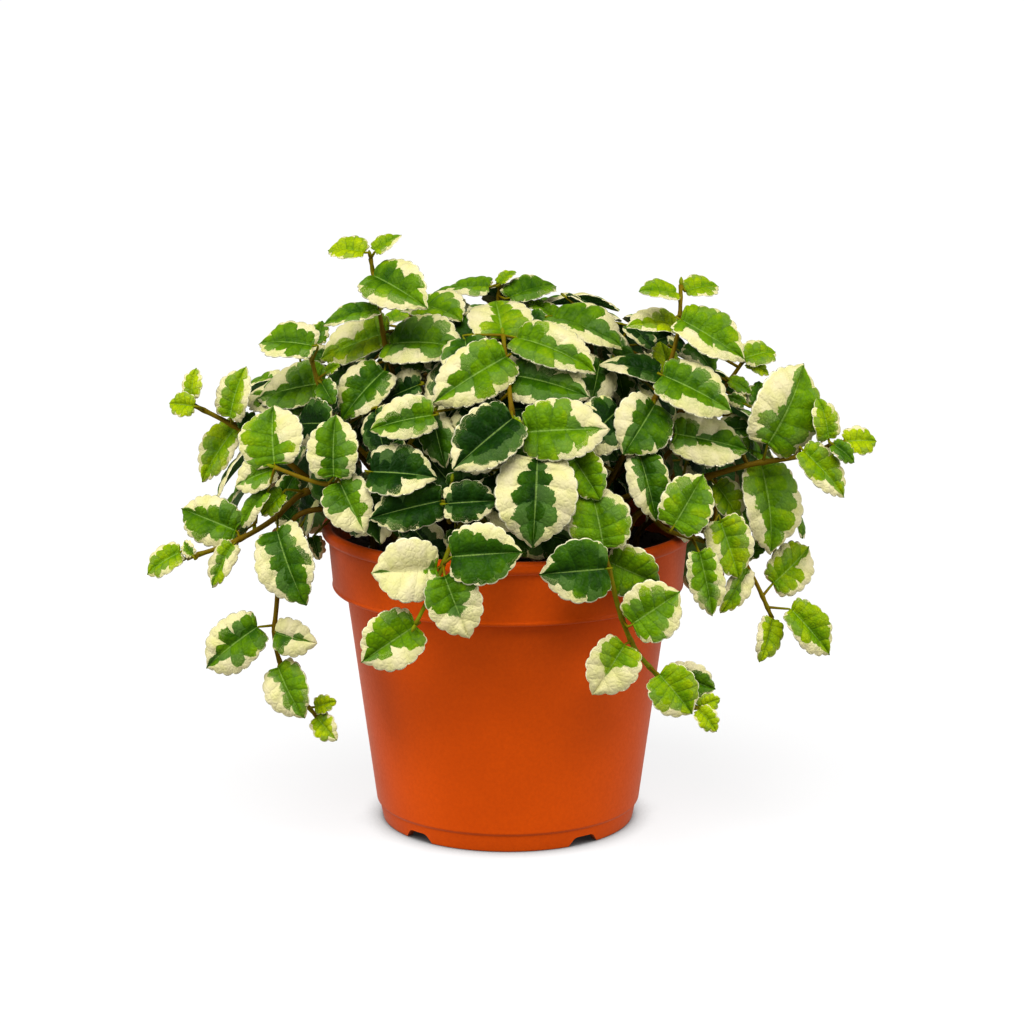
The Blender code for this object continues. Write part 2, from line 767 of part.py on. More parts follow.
def line_tree(line, radii):
    """The search tree of a stem's tube."""
    points, sides = [], []
    for i, place in enumerate(line):
        way = line[min(i + 1, len(line) - 1)] - line[max(i - 1, 0)]
        turn = way.to_track_quat("Z", "Y").to_matrix()
        radius = radii[0] + (radii[1] - radii[0]) * i / (len(line) - 1)
        for k in range(6):
            a = math.radians(60 * k)
            points.append(place + turn @ Vector((radius * math.cos(a), radius * math.sin(a), 0)))
    for i in range(len(line) - 1):
        for k in range(6):
            sides.append((6 * i + k, 6 * i + (k + 1) % 6, 6 * i + 6 + (k + 1) % 6, 6 * i + 6 + k))
    return BVHTree.FromPolygons(points, sides)


def grow_leaves(stems, placed):
    """The leaves of each stem: the front ones layer by layer, then those behind."""
    by_name = {stem.name: stem for stem in stems}
    wanted = []
    for name, (_, _, rows) in FRONT_STEMS.items():
        wanted += [(spec["layer"], name, i, spec) for i, spec in enumerate(rows)]
    for layer, name, i, spec in sorted(wanted, key=lambda w: w[0]):
        stem = by_name[name]
        leaf = place_leaf(front_candidates(spec, stem, f"{name} {i}"), stem, placed)
        if leaf is None:
            print("no room for", name, i)
        else:
            stem.leaves.append(leaf)
    draw = random.Random(5)
    for stem in stems:
        if stem.name not in FRONT_STEMS:
            grow_back_leaves(stem, placed, draw)


def grow_back_leaves(stem, placed, draw):
    """Leaves by turns left and right of a stem behind, and one at its tip."""
    start = first_in_canopy(stem.line)
    fine = smooth_line(stem.line[start:], BACK_SPACING)
    side = draw.choice((-1, 1))
    for i, place in enumerate(fine):
        before, after = fine[max(i - 1, 0)], fine[min(i + 1, len(fine) - 1)]
        way = (after - before).normalized()
        length = draw.uniform(*BACK_LENGTHS)
        if i == len(fine) - 1:
            length *= BACK_TIP_SHARE
        leaf = place_leaf(back_candidates(place, way, side, length, f"{stem.name} {i}"), stem, placed)
        if leaf is not None:
            stem.leaves.append(leaf)
        side = -side


def first_in_canopy(line):
    """The index of the line's first point near the dome's surface."""
    for i, place in enumerate(line):
        from_centre = Vector((a / r for a, r in zip(place - DOME_CENTRE, DOME_RADII)))
        if from_centre.length > IN_CANOPY:
            return min(i, len(line) - 2)
    return 0


def material(name, colour, roughness):
    """A plain Principled material."""
    made = bpy.data.materials.new(name)
    made.use_nodes = True
    shader = made.node_tree.nodes["Principled BSDF"]
    shader.inputs["Base Color"].default_value = (*colour, 1)
    shader.inputs["Roughness"].default_value = roughness
    made.diffuse_color = (*colour, 1)
    return made


def turned(name, profile):
    """The (radius, height) profile turned about the upright axis."""
    mesh = bpy.data.meshes.new(name)
    edges = [(i, i + 1) for i in range(len(profile) - 1)]
    mesh.from_pydata([(r * MM, 0, z * MM) for r, z in profile], edges, [])
    made = bpy.data.objects.new(name, mesh)
    screw = made.modifiers.new("Turn", "SCREW")
    screw.steps = screw.render_steps = POT_STEPS
    screw.use_merge_vertices = True
    screw.merge_threshold = 0.00001
    return made


def cutter(name, bm, cutters):
    """A cutter from the bmesh, in millimetres."""
    bmesh.ops.scale(bm, vec=(MM, MM, MM), verts=bm.verts)
    mesh = bpy.data.meshes.new(name)
    bm.to_mesh(mesh)
    bm.free()
    made = bpy.data.objects.new(name, mesh)
    made.hide_render = True
    made.display_type = "WIRE"
    cutters.objects.link(made)
    return made


def cut(target, cutters):
    """Cuts every cutter of the collection from the target."""
    difference = target.modifiers.new("Cut", "BOOLEAN")
    difference.operand_type = "COLLECTION"
    difference.collection = cutters
    difference.operation = "DIFFERENCE"


def new_collection(name, parent):
    made = bpy.data.collections.new(name)
    parent.children.link(made)
    return made


def make_pot(plant, cutters):
    """The pot's shell, with notches in its foot ring and holes in its floor."""
    profile = [(0, FLOOR_TOP), *INNER_WALL, *LIP, *BAND_AND_LEDGE, *BODY_AND_FOOT, (0, FLOOR_UNDERSIDE)]
    pot = turned("pot", profile)
    plant.objects.link(pot)
    pot.data.materials.append(material("Orange plastic", (0.55, 0.075, 0.012), 0.42))
    own = new_collection("pot cutters", cutters)
    for bearing in NOTCH_BEARINGS:
        bm = bmesh.new()
        bmesh.ops.create_cube(bm, size=1)
        bmesh.ops.scale(bm, vec=(NOTCH_WIDTH, 10, 2 * NOTCH_HEIGHT), verts=bm.verts)
        splay(bm.verts)
        bmesh.ops.translate(bm, vec=(0, -40, 0), verts=bm.verts)
        bmesh.ops.rotate(bm, matrix=Matrix.Rotation(math.radians(bearing), 3, "Z"), verts=bm.verts)
        cutter("notch cutter", bm, own)
    places = [(0, 0)]
    for i in range(DRAIN_COUNT):
        a = math.radians(360 * i / DRAIN_COUNT + 15)
        places.append((DRAIN_RING * math.cos(a), DRAIN_RING * math.sin(a)))
    for x, y in places:
        drill("drain cutter", (x, y), DRAIN_RADIUS, FLOOR_UNDERSIDE - 2, FLOOR_TOP + 2, 8, own)
    cut(pot, own)
    return pot


def splay(corners):
    """Makes the notch's cutter wider at the ground than at its top."""
    for v in corners:
        width = NOTCH_WIDTH - (NOTCH_WIDTH - NOTCH_TOP_WIDTH) * v.co.z / NOTCH_HEIGHT
        v.co.x = math.copysign(width / 2, v.co.x)


def drill(name, place, radius, bottom, top, sides, cutters):
    """An upright prism that cuts a hole."""
    bm = bmesh.new()
    depth = top - bottom
    bmesh.ops.create_cone(bm, cap_ends=True, segments=sides, radius1=radius, radius2=radius, depth=depth)
    bmesh.ops.translate(bm, vec=(*place, (bottom + top) / 2), verts=bm.verts)
    return cutter(name, bm, cutters)


def wall_radius(height):
    """The radius of the pot's inner wall at this height."""
    for (r0, z0), (r1, z1) in zip(INNER_WALL, INNER_WALL[1:]):
        if z0 <= height <= z1:
            return r0 + (r1 - r0) * (height - z0) / (z1 - z0)
    raise ValueError("no inner wall at this height")


def make_soil(plant, cutters, stems):
    """The plug of soil, with a plain hole for each stem."""
    side = [(wall_radius(SOIL_EDGE) - SEAT_GAP, SOIL_EDGE)]
    side += [(r - SEAT_GAP, z + SEAT_GAP) for r, z in reversed(INNER_WALL[1:4])]
    side.append((INNER_WALL[0][0] - SEAT_GAP, FLOOR_TOP + SEAT_GAP))
    soil = turned("soil", [(0, SOIL_MIDDLE), (36, SOIL_MIDDLE - 0.5), *side, (0, FLOOR_TOP + SEAT_GAP)])
    plant.objects.link(soil)
    soil.data.materials.append(material("Potting soil", (0.02, 0.012, 0.008), 0.95))
    own = new_collection("soil cutters", cutters)
    for stem in stems:
        place = (stem.line[0].x, stem.line[0].y)
        radius = stem_radii(stem.name)[0] + HOLE_ROOM
        drill("stem hole cutter", place, radius, HOLE_BOTTOM, SOIL_MIDDLE + 5, 5, own)
    cut(soil, own)
    return soil


def make_stem(stem, plant, green):
    """A stem fused with its leaves."""
    made = tube("stem_" + stem.name, stem.line, stem_radii(stem.name))
    plant.objects.link(made)
    gathered = new_collection(stem.name + " leaves", plant)
    for leaf in stem.leaves:
        bm = bmesh.new()
        wall = add_blade(bm, leaf, THICKNESS)
        add_stalk(bm, wall, leaf, stalk_root(stem.line, leaf))
        bmesh.ops.scale(bm, vec=(MM, MM, MM), verts=bm.verts)
        bmesh.ops.recalc_face_normals(bm, faces=bm.faces)
        mesh = bpy.data.meshes.new("leaf")
        bm.to_mesh(mesh)
        bm.free()
        gathered.objects.link(bpy.data.objects.new("leaf", mesh))
    union = made.modifiers.new("Leaves", "BOOLEAN")
    union.operation = "UNION"
    union.operand_type = "COLLECTION"
    union.collection = gathered
    bpy.context.view_layer.update()
    fused = bpy.data.meshes.new_from_object(made.evaluated_get(bpy.context.evaluated_depsgraph_get()))
    made.modifiers.clear()
    made.data = fused
    for leaf in list(gathered.objects):
        bpy.data.objects.remove(leaf)
    bpy.data.collections.remove(gathered)
    made.data.materials.clear()
    made.data.materials.append(green)
    return made


def tree_of_object(made):
    """The search tree, in millimetres, of an object with its modifiers."""
    bpy.context.view_layer.update()
    bm = bmesh.new()
    bm.from_object(made, bpy.context.evaluated_depsgraph_get())
    bmesh.ops.scale(bm, vec=(1 / MM,) * 3, verts=bm.verts)
    tree = BVHTree.FromBMesh(bm)
    bm.free()
    return tree


def main():
    for old in list(bpy.data.objects):
        bpy.data.objects.remove(old)
    root = bpy.context.scene.collection
    plant = new_collection("potted creeping fig", root)
    cutters = new_collection("cutters", root)
    cutters.hide_render = True
    pot = make_pot(plant, cutters)
    placed = [Placed("solid", None, tree_of_object(pot), None, 0)]
    stems = grow_stems(placed)
    soil = make_soil(plant, cutters, stems)
    placed.append(Placed("solid", None, tree_of_object(soil), None, 0))
    grow_leaves(stems, placed)
    green = material("Fig leaf", (0.05, 0.16, 0.02), 0.45)
    for stem in stems:
        make_stem(stem, plant, green)
    for made in (pot, soil):
        made.data.shade_smooth()
    print("leaves:", sum(len(stem.leaves) for stem in stems))


main()
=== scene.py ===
"""The looks of a variegated creeping fig in a plastic nursery pot.

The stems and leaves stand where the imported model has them: the same tables and rules place them, and
each gets a finer surface. Sizes are written in millimetres, and each mesh is made in metres.
"""

import math
import random
from collections import namedtuple

import bmesh
import bpy
import numpy as np
from mathutils import Matrix, Vector, noise
from mathutils.bvhtree import BVHTree
from mathutils.kdtree import KDTree

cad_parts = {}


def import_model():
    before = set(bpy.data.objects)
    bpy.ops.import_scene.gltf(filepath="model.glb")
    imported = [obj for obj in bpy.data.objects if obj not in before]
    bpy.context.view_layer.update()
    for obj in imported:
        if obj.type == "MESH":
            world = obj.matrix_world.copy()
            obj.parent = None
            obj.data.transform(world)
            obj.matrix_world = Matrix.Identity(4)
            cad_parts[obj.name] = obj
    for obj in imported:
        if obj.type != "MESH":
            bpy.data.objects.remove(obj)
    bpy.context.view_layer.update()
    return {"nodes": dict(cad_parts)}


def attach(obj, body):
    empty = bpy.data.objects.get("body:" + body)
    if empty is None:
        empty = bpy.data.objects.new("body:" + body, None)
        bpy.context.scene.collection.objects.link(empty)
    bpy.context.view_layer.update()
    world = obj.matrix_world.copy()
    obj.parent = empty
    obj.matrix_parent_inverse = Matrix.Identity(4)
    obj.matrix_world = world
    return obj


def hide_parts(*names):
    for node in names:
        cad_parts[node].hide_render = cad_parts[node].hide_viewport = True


# A millimetre in metres, and the golden angle in degrees
MM = 0.001
GOLDEN = 137.508

# Seeds of the draws
ROUTE_SEED = 11
BACK_SEED = 5
FILL_SEED = 23
CRUMB_SEED = 31

# Pot: a 120 mm nursery pot
INNER_WALL = [(40.6, 5.2), (50.7, 76.1), (51.2, 78.6), (54.9, 79), (56.4, 92)]
LIP = [(57, 97.8), (58.4, 98.5), (59.5, 98.1), (60, 97.2), (60, 95.4), (59.3, 94.5), (58, 94.1)]
BAND_AND_LEDGE = [(56.5, 77.5), (52.4, 77.2)]
BODY_AND_FOOT = [(43, 6.4), (42.1, 5.6), (41, 0), (38.6, 0), (38.9, 3.6)]
FLOOR_TOP = 5.2
FLOOR_UNDERSIDE = 3.6
NOTCH_BEARINGS = (-44, 36, 136, -144)
NOTCH_WIDTH = 11.5
NOTCH_TOP_WIDTH = 7
NOTCH_HEIGHT = 3
NOTCH_LENGTH = 10
NOTCH_REACH = 40
DRAIN_RING = 27
DRAIN_COUNT = 6
DRAIN_TURN = 15
DRAIN_RADIUS = 4.5
DRAIN_DEPTH = 6

# Soil: a plug that stands on the floor, this far from the plastic
SEAT_GAP = 0.35
SOIL_EDGE = 88.5
SOIL_MIDDLE = 90.5
HOLE_BOTTOM = 79
HOLE_COUNT = 40
HOLE_FIELD = 46

# Stems: radius at the soil and at the tip, and the line between the soil and the part in view
STEM_RADIUS = (1.25, 0.7)
ARM_RADIUS = (1.6, 0.8)
ARMS = ("arm_right", "arm_left_upper", "arm_left_lower")
STEM_SPACING = 15
STEM_END_GAP = 0.5
HOLE_SHARE = 0.5
HOLES_TRIED = 6
NECK = 7
MIDDLE_SHARE = 0.55
ARCH_OVER = 3
ARCH_TOP = 112
CURVE_STEPS = 8
ROD_SIDES = 6
RISES = (0, 6, -5, 12)
SIDESTEPS = (0, 5, -5, 10, -10, 15, -15)

# Blades: the outline's own formula, how far its edge waves in and out, and how the face bends
THICKNESS = 0.7
ROOM = 0.35
USUAL_WIDTH = 0.8
TAPER = 0.5
LOBE = 0.12
ROUNDNESS = 0.7
POINTEDNESS = 0.55
EDGE_COUNTS = ((15, 3), (20, 4), (99, 5))
BACK_EDGE_COUNT = 4
EDGE_SPAN = (0.1, 0.86)
TOOTH = 0.075
TOOTH_CENTRE = 0.4
RIB_SHARES = ((0.45,), (0.36, 0.7))
BOW = (0.03, 0.09)
FOLD = (0.08, 0.3)
TWIST = (-0.3, 0.3)
TRIAL_SWELL = 1.04

# Stalks, from the blade to the middle of the stem
STALK_HALF_WIDTH = 0.42
STALK_LONGEST = 17
STALK_ELBOW = 1.6
STALK_STRAIGHT = 0.35
STALK_BACKMOST = -0.5
STALK_SUNK = 0.1
ROOT_STEPS = 4
ROOT_BEFORE_TIP = 0.05
ASIDE_COST = 1.6
LENGTH_COST = 0.5

# Canopy: the dome that the outer leaves lie on
DOME_CENTRE = Vector((0, 0, 95))
DOME_RADII = Vector((88, 72, 72))
LAYER_STEP = 0.1
DEPTH_FROM_STEM = (-9, 4)
UNDER_DOME = 2
FACE_TURN = 0.5
FACE_TURN_MOST = 32

# The front is set out as a viewer's eye here sees it, on the upright plane through the pot's axis
EYE = Vector((1.35, -944.2, 305.8))

Stem = namedtuple("Stem", "name line leaves")
Leaf = namedtuple("Leaf", "base tip normal width seed edge_count")
Seen = namedtuple("Seen", "base tip elevation words width layer depth bearing")


def row(across, up, tip_across, tip_up, elevation, words, width=None, layer=0, depth=None, bearing=None):
    """A leaf by where its stalk end and its tip are seen, and the elevation that its face looks to."""
    return Seen((across, up), (tip_across, tip_up), elevation, words, width, layer, depth, bearing)


# Each stem in front: its depth at the first and the last of its points in view, the (across, up) of these
# from root to tip, and its leaves. Their words give the tone of the green, partly painted light and shade,
# and the sides, as seen, where the leaf is cream, twice for more
FRONT_STEMS = {
    "crown_left": (
        (-15, -15),
        [(-37, 147), (-40, 162), (-41, 168), (-43, 180), (-43.5, 183.5)],
        row(-45.5, 185.5, -57, 186, 55, "young"),
        row(-42, 186, -33.5, 191, 55, "bright E"),
        row(-42.5, 178, -25.5, 167.5, 45, "NE S", width=18),
        row(-41.5, 167, -59, 162, 65, "", width=11.5),
        row(-38, 160, -60, 151, 45, "bright NW NW"),
        row(-37.5, 156, -13.5, 154.5, 50, "NE S"),
        row(-39.5, 147.5, -53.5, 131, 35, "dim NW E", width=17.5),
    ),
    "shoulder_left": (
        (-25, -20),
        [(-58.5, 134.5), (-60.5, 140), (-59, 145), (-61, 150), (-63.5, 154.5)],
        row(-62, 155.5, -79.5, 156, 50, "all"),
        row(-59, 143.5, -80.5, 138, 45, "NW W"),
        row(-63, 137.5, -84, 139, 60, "W W", layer=1),
        row(-59.5, 143.5, -55.5, 136.5, 30, "dim"),
        row(-58, 147, -53.5, 149.5, 30, "bright"),
    ),
    "arm_left_upper": (
        (-10, -10),
        [(-83, 127.5), (-89, 130), (-94.5, 132), (-99.5, 134.5), (-101, 136.5)],
        row(-101.5, 138.5, -99.5, 148.5, 20, "young all"),
        row(-100.5, 136, -108.5, 137, 20, "young"),
        row(-89, 132.5, -83.5, 149, 15, "bright all", width=13.5),
        row(-87, 129.5, -98.5, 111, 20, "bright W SE", width=13.5),
        row(-85.5, 128.5, -81, 134, 20, "dark", depth=-4),
    ),
    "left_front": (
        (-50, -45),
        [(-54, 111.5), (-60.5, 111), (-67, 111.5), (-72, 114), (-75, 116)],
        row(-75, 117, -75, 136.5, 25, "light NE E", width=22),
        row(-75, 115.5, -88, 109.5, 25, "light all W W", layer=1),
        row(-56, 113, -55, 133.5, 15, "NE W", width=17),
        row(-54, 111, -46, 94, 20, "S S S E", width=16),
        row(-77.5, 108, -86, 96, 20, "SE", width=9, bearing=-55),
    ),
    "arm_left_lower": (
        (-30, -30),
        [(-64, 108.5), (-72, 101), (-77, 98), (-83.5, 93.5), (-89.5, 91), (-98.5, 87.5), (-104, 86)],
        row(-87.5, 95, -105.5, 102.5, 25, "N NW S", width=16),
        row(-106, 88, -117, 80.5, 30, "bright all"),
        row(-102, 87, -104.5, 92, 20, "light N S all"),
        row(-89, 90.5, -96, 76, 15, "bright W W E E", width=9),
        row(-74.5, 95, -65.5, 70, 15, "dim NE SW W", width=20, depth=-40),
        row(-72.5, 107.5, -79.5, 100, 20, "bright"),
    ),
    "hang_left": (
        (-35, -35),
        [(-70, 98), (-75, 72), (-75, 65), (-76, 61), (-75.5, 53.5), (-75, 49), (-68, 40), (-62.5, 32.5)],
        row(-81.5, 63, -98.5, 49, 10, "NW W S", width=17.5),
        row(-75.5, 61, -62, 57.5, 10, "N N N SE SE SE all"),
        row(-75, 49.5, -66.5, 32, 10, "light W SW SW", width=16),
        row(-63, 36, -56, 38, 20, "young"),
        row(-62.5, 32.5, -56, 24.5, 20, "young E SE"),
    ),
    "hang_front_left": (
        (-64, -73),
        [(-17, 93.5), (-19.5, 87), (-21.5, 82), (-26, 72), (-30, 64)],
        row(-23, 82.5, -44.5, 81, 15, "light N N N N S S S S W W", width=19.5),
        row(-20.5, 80, -12.5, 59, 10, "S S SE SE", width=17),
        row(-30, 63.5, -48, 51, 15, "light S S W", width=18),
        row(-18, 86.5, 5, 88, 20, "dark NE", width=19),
    ),
    "crown_centre": (
        (-50, -32),
        [(2, 132), (0, 137.5), (-2, 143), (1, 147), (0, 153.5), (-1.5, 159)],
        row(-1.5, 158, -4, 170, 60, "bright W W NE", width=20.5),
        row(-0.5, 152, -24.5, 136.5, 30, "light W NW S", width=19),
        row(3, 158, 28.5, 146.5, 48, "light NE NE", width=17),
        row(1.5, 146, 26.5, 138.5, 45, "dim NE N", layer=1),
        row(1.5, 132, -18, 115, 30, "deep SW", width=19, layer=1),
        row(4.5, 129.5, -2.5, 129, 30, "young", width=6.5, layer=1, depth=-61),
    ),
    "crown_back_centre": (
        (5, 5),
        [(-4, 155), (-3.5, 170), (-3, 173.5), (-2.5, 175.5)],
        row(-6, 174.5, -20, 173.5, 65, "light SW"),
        row(-2.5, 175.5, 2.5, 179.5, 60, "bright"),
        row(0.5, 171, 15.5, 174.5, 65, "NE", width=12.5),
    ),
    "crown_back_left": (
        (4, 6),
        [(-32, 150), (-32, 158), (-31, 165)],
        row(-29, 168.5, -14.5, 163.5, 70, "light N", depth=3),
        row(-38.5, 163, -22, 166.5, 72, "bright", depth=8),
    ),
    "centre_low": (
        (-58, -54),
        [(8, 108), (9, 116), (8, 123), (6, 128)],
        row(6, 127.5, 33, 128.5, 30, "light NE E E", width=20.5),
        row(9.5, 118.5, 8, 89, 15, "dark all NW NE", width=25),
        row(20.5, 120, 30, 105, 20, "light", layer=2),
    ),
    "centre_left": (
        (-50, -45),
        [(-36, 106), (-37, 115), (-29, 127), (-24, 134)],
        row(-24, 133, -44.5, 128, 35, "all NW", width=14.5),
        row(-24, 132.5, -20, 115.5, 30, "dark NE", width=11, layer=1),
        row(-44, 114.5, -22.5, 112.5, 30, "deep SE", width=18, layer=1),
    ),
    "front_low_left": (
        (-60, -58),
        [(-19, 98), (-20, 105), (-18, 111)],
        row(-21.5, 105, -45, 99, 25, "deep W", width=15, layer=1),
        row(-19, 108.5, -3, 111, 20, "deep", layer=2),
        row(-20, 104, -2.5, 105, 25, "deep W", layer=1),
    ),
    "hang_front_right": (
        (-58, -58),
        [(30, 90.5), (32, 85), (33.5, 78.5), (35.5, 71), (37.5, 64.5), (39, 59.5), (43.5, 53),
         (48.5, 47), (59.5, 37), (62, 35.5)],
        row(31, 89.5, 26, 111, 25, "light N", width=20),
        row(32, 82.5, 10, 80.5, 15, "dark SW", width=19.5),
        row(32.5, 85, 49.5, 77.5, 15, "light N", width=16, layer=1),
        row(40.5, 64, 56, 75, 15, "light N E", width=19),
        row(38, 57, 27.5, 40, 10, "bright S S S SW SW W SE", width=16.5),
        row(49.5, 47, 60.5, 33.5, 10, "bright S", width=15.5, depth=-64),
        row(53.5, 47, 68, 42, 10, "dim all N", width=11.5, depth=-51),
        row(62.5, 36, 69.5, 39, 20, "young"),
        row(62.5, 35, 68.5, 27.5, 20, "young"),
    ),
    "crown_right": (
        (-35, -20),
        [(47.5, 139), (51, 147.5), (52, 154), (53.5, 158), (55, 164), (55, 170), (55, 175)],
        row(53.5, 172.5, 41.5, 173, 60, "bright"),
        row(56.5, 173, 67, 174.5, 60, "bright NE"),
        row(55, 164, 76, 150.5, 45, "light E SW"),
        row(54.5, 161.5, 37.5, 161.5, 65, "young NW N"),
        row(51.5, 146.5, 48.5, 157, 45, "young", depth=-14),
        row(49.5, 146, 72, 134, 40, "S NE"),
        row(48.5, 147, 29, 149.5, 50, "deep W W", layer=1),
        row(47, 136.5, 37, 120, 25, "dim NW W", width=19),
    ),
    "crown_back_right": (
        (-5, -3),
        [(26, 145), (27, 156), (26, 165)],
        row(14, 164.5, 37, 154.5, 55, "NE S", depth=-8),
        row(39, 162, 46.5, 154, 55, "deep", depth=0),
        row(15.5, 164.5, 5, 169.5, 65, "light N", depth=2),
    ),
    "shoulder_right": (
        (-5, -5),
        [(70.5, 143), (73, 145.5), (74.5, 148), (75.5, 151)],
        row(75.5, 151.5, 85.5, 153.5, 50, "bright N"),
        row(76.5, 150, 83.5, 146, 45, "young"),
        row(71, 144.5, 78, 140, 40, "light"),
    ),
    "arm_right": (
        (-30, -30),
        [(64.5, 113), (75, 115), (80.5, 118), (86, 119.5), (93, 119.5), (102, 123.5), (107.5, 124.5)],
        row(83.5, 123.5, 94.5, 150, 10, "light W NW N", width=25),
        row(81.5, 116.5, 85, 87, 15, "light SW SE", width=22.5),
        row(103, 125.5, 99, 139, 15, "bright E"),
        row(95, 121.5, 108.5, 106, 25, "bright E S", width=13),
        row(108.5, 124.5, 118.5, 124.5, 30, "young"),
        row(104.5, 123.5, 111.5, 117.5, 30, ""),
        row(67, 110.5, 75, 97.5, 20, "bright E", layer=2),
    ),
    "right_low": (
        (-45, -45),
        [(47.5, 96.5), (53, 95), (59, 93), (63.5, 91.5)],
        row(53.5, 96.5, 63, 114, 20, "light N", width=17),
        row(68.5, 98.5, 75, 79, 10, "bright W E", width=16),
        row(62, 88, 66.5, 66.5, 10, "light E S", width=12),
    ),
    "hang_right": (
        (-28, -28),
        [(73.5, 90), (78.5, 81), (83.5, 75), (85, 71), (86, 66)],
        row(77.5, 82.5, 69, 67.5, 10, "bright E E E W", width=9),
        row(86, 77.5, 97.5, 90, 20, "bright E E", width=15.5),
        row(92, 69, 105, 53.5, 15, "bright S", width=14),
        row(86, 65.5, 82, 51, 10, "young W", width=10),
    ),
    "right_inner": (
        (-46, -42),
        [(40, 105), (42, 113), (46, 123.5)],
        row(42.5, 119.5, 48, 98, 20, "dim SW W", width=14, layer=1),
        row(53.5, 127, 77.5, 121.5, 35, "N N S S", width=18, layer=1),
    ),
}

# Each stem behind: its bearing from +X round by the back, and how far down the dome it runs, in degrees
# from the top. Past 100 it hangs.
BACK_STEMS = {
    "back_inner": [(25, 16, 50), (70, 12, 50), (112, 14, 50), (152, 16, 50)],
    "back_outer": [
        (4, 50, 90),
        (32, 46, 98),
        (60, 48, 98),
        (88, 46, 96),
        (116, 48, 98),
        (146, 46, 98),
        (176, 50, 88),
    ],
    "back_hang": [(48, 78, 112), (74, 78, 130), (102, 80, 132)],
}
BACK_SPACING = 15.5
BACK_LENGTHS = (20, 27)
BACK_TIP_SHARE = 0.65
BACK_STEP = 12
BACK_SWAY = 4
SWAY_PHASE = 1.7
BACK_DEPTH = 0.93
BACK_EQUATOR = 95
BACK_LEAN = 0.25
BACK_SPREAD = 55
BACK_ASIDE = 4
BACK_LIFT = 2
IN_CANOPY = 0.8

# The ways that a leaf is moved until it has room: nearer or farther and tilted in front, turned, raised or
# smaller behind
FRONT_SLIDES = (0, -2, 2, -4, 4, -6, 6, -8, 8, -11, 11, 14)
FRONT_TILTS = (0, 9, -9, 18, -18, 27)
BACK_TURNS = (0, 22, -22, 44, -44)
BACK_RISES = (0, 3, -3, 6, 9, -6)
BACK_SIZES = (1, 0.8)


def seen(point, depth):
    """Where a thing seen at this (across, up) on the upright plane is when it lies at this depth."""
    on_plane = Vector((point[0], 0, point[1]))
    return EYE + (on_plane - EYE) * (depth - EYE.y) / -EYE.y


def dome_depth(point, layer):
    """The depth at which the view of this (across, up) meets the dome's near side, or None past its edge."""
    scale = 1 - LAYER_STEP * layer
    ray = seen(point, 0) - EYE
    start = Vector((a / (r * scale) for a, r in zip(EYE - DOME_CENTRE, DOME_RADII)))
    along = Vector((a / (r * scale) for a, r in zip(ray, DOME_RADII)))
    half_b = start.dot(along)
    root = half_b**2 - along.dot(along) * (start.dot(start) - 1)
    if root < 0:
        return None
    return EYE.y + ray.y * (-half_b - math.sqrt(root)) / along.dot(along)


def dome_point(bearing, polar, scale):
    """A point of the dome, or of a smaller one inside it."""
    a, p = math.radians(bearing), math.radians(polar)
    unit = Vector((math.sin(p) * math.cos(a), math.sin(p) * math.sin(a), math.cos(p)))
    return DOME_CENTRE + Vector((u * r * scale for u, r in zip(unit, DOME_RADII)))


def dome_normal(point):
    """The way that the dome faces at this point."""
    return Vector((a / r**2 for a, r in zip(point - DOME_CENTRE, DOME_RADII))).normalized()


def smooth_line(points, spacing):
    """Points this far apart, or a little less, on a smooth curve through the given ones."""
    ends = [2 * points[0] - points[1], *points, 2 * points[-1] - points[-2]]
    fine = []
    for p0, p1, p2, p3 in zip(ends, ends[1:], ends[2:], ends[3:]):
        for i in range(CURVE_STEPS):
            t = i / CURVE_STEPS
            bend = (2 * p0 - 5 * p1 + 4 * p2 - p3) * t**2 + (3 * p1 - p0 - 3 * p2 + p3) * t**3
            fine.append(0.5 * (2 * p1 + (p2 - p0) * t + bend))
    fine.append(points[-1])
    reach = [0]
    for a, b in zip(fine, fine[1:]):
        reach.append(reach[-1] + (b - a).length)
    count = math.ceil(reach[-1] / spacing)
    line = []
    at = 0
    for i in range(count + 1):
        want = reach[-1] * i / count
        while at < len(reach) - 2 and reach[at + 1] < want:
            at += 1
        line.append(fine[at].lerp(fine[at + 1], (want - reach[at]) / (reach[at + 1] - reach[at])))
    return line


def stalk_root(line, leaf):
    """Where the leaf's stalk springs from its stem: near, and rather behind the leaf than beside it."""
    back = (leaf.base - leaf.tip).normalized()
    shares = [i / ROOT_STEPS for i in range(ROOT_STEPS)]
    places = [a.lerp(b, share) for a, b in zip(line[1:], line[2:]) for share in shares]
    places.append(line[-1].lerp(line[-2], ROOT_BEFORE_TIP))

    def cost(place):
        away = place - leaf.base
        return away.length * (ASIDE_COST - away.normalized().dot(back)) + LENGTH_COST * away.length

    return min(places, key=cost)


def holes():
    """The (x, y) of the stems' holes: a sunflower's pattern on the soil."""
    golden = math.radians(GOLDEN)
    reach = [HOLE_FIELD * math.sqrt((i + 0.5) / HOLE_COUNT) for i in range(HOLE_COUNT)]
    return [Vector((r * math.cos(i * golden), r * math.sin(i * golden), 0)) for i, r in enumerate(reach)]


def front_route(name):
    """The points in view of a stem in front."""
    (first, last), points, *_ = FRONT_STEMS[name]
    shares = [i / (len(points) - 1) for i in range(len(points))]
    return [seen(point, first + (last - first) * share) for point, share in zip(points, shares)]


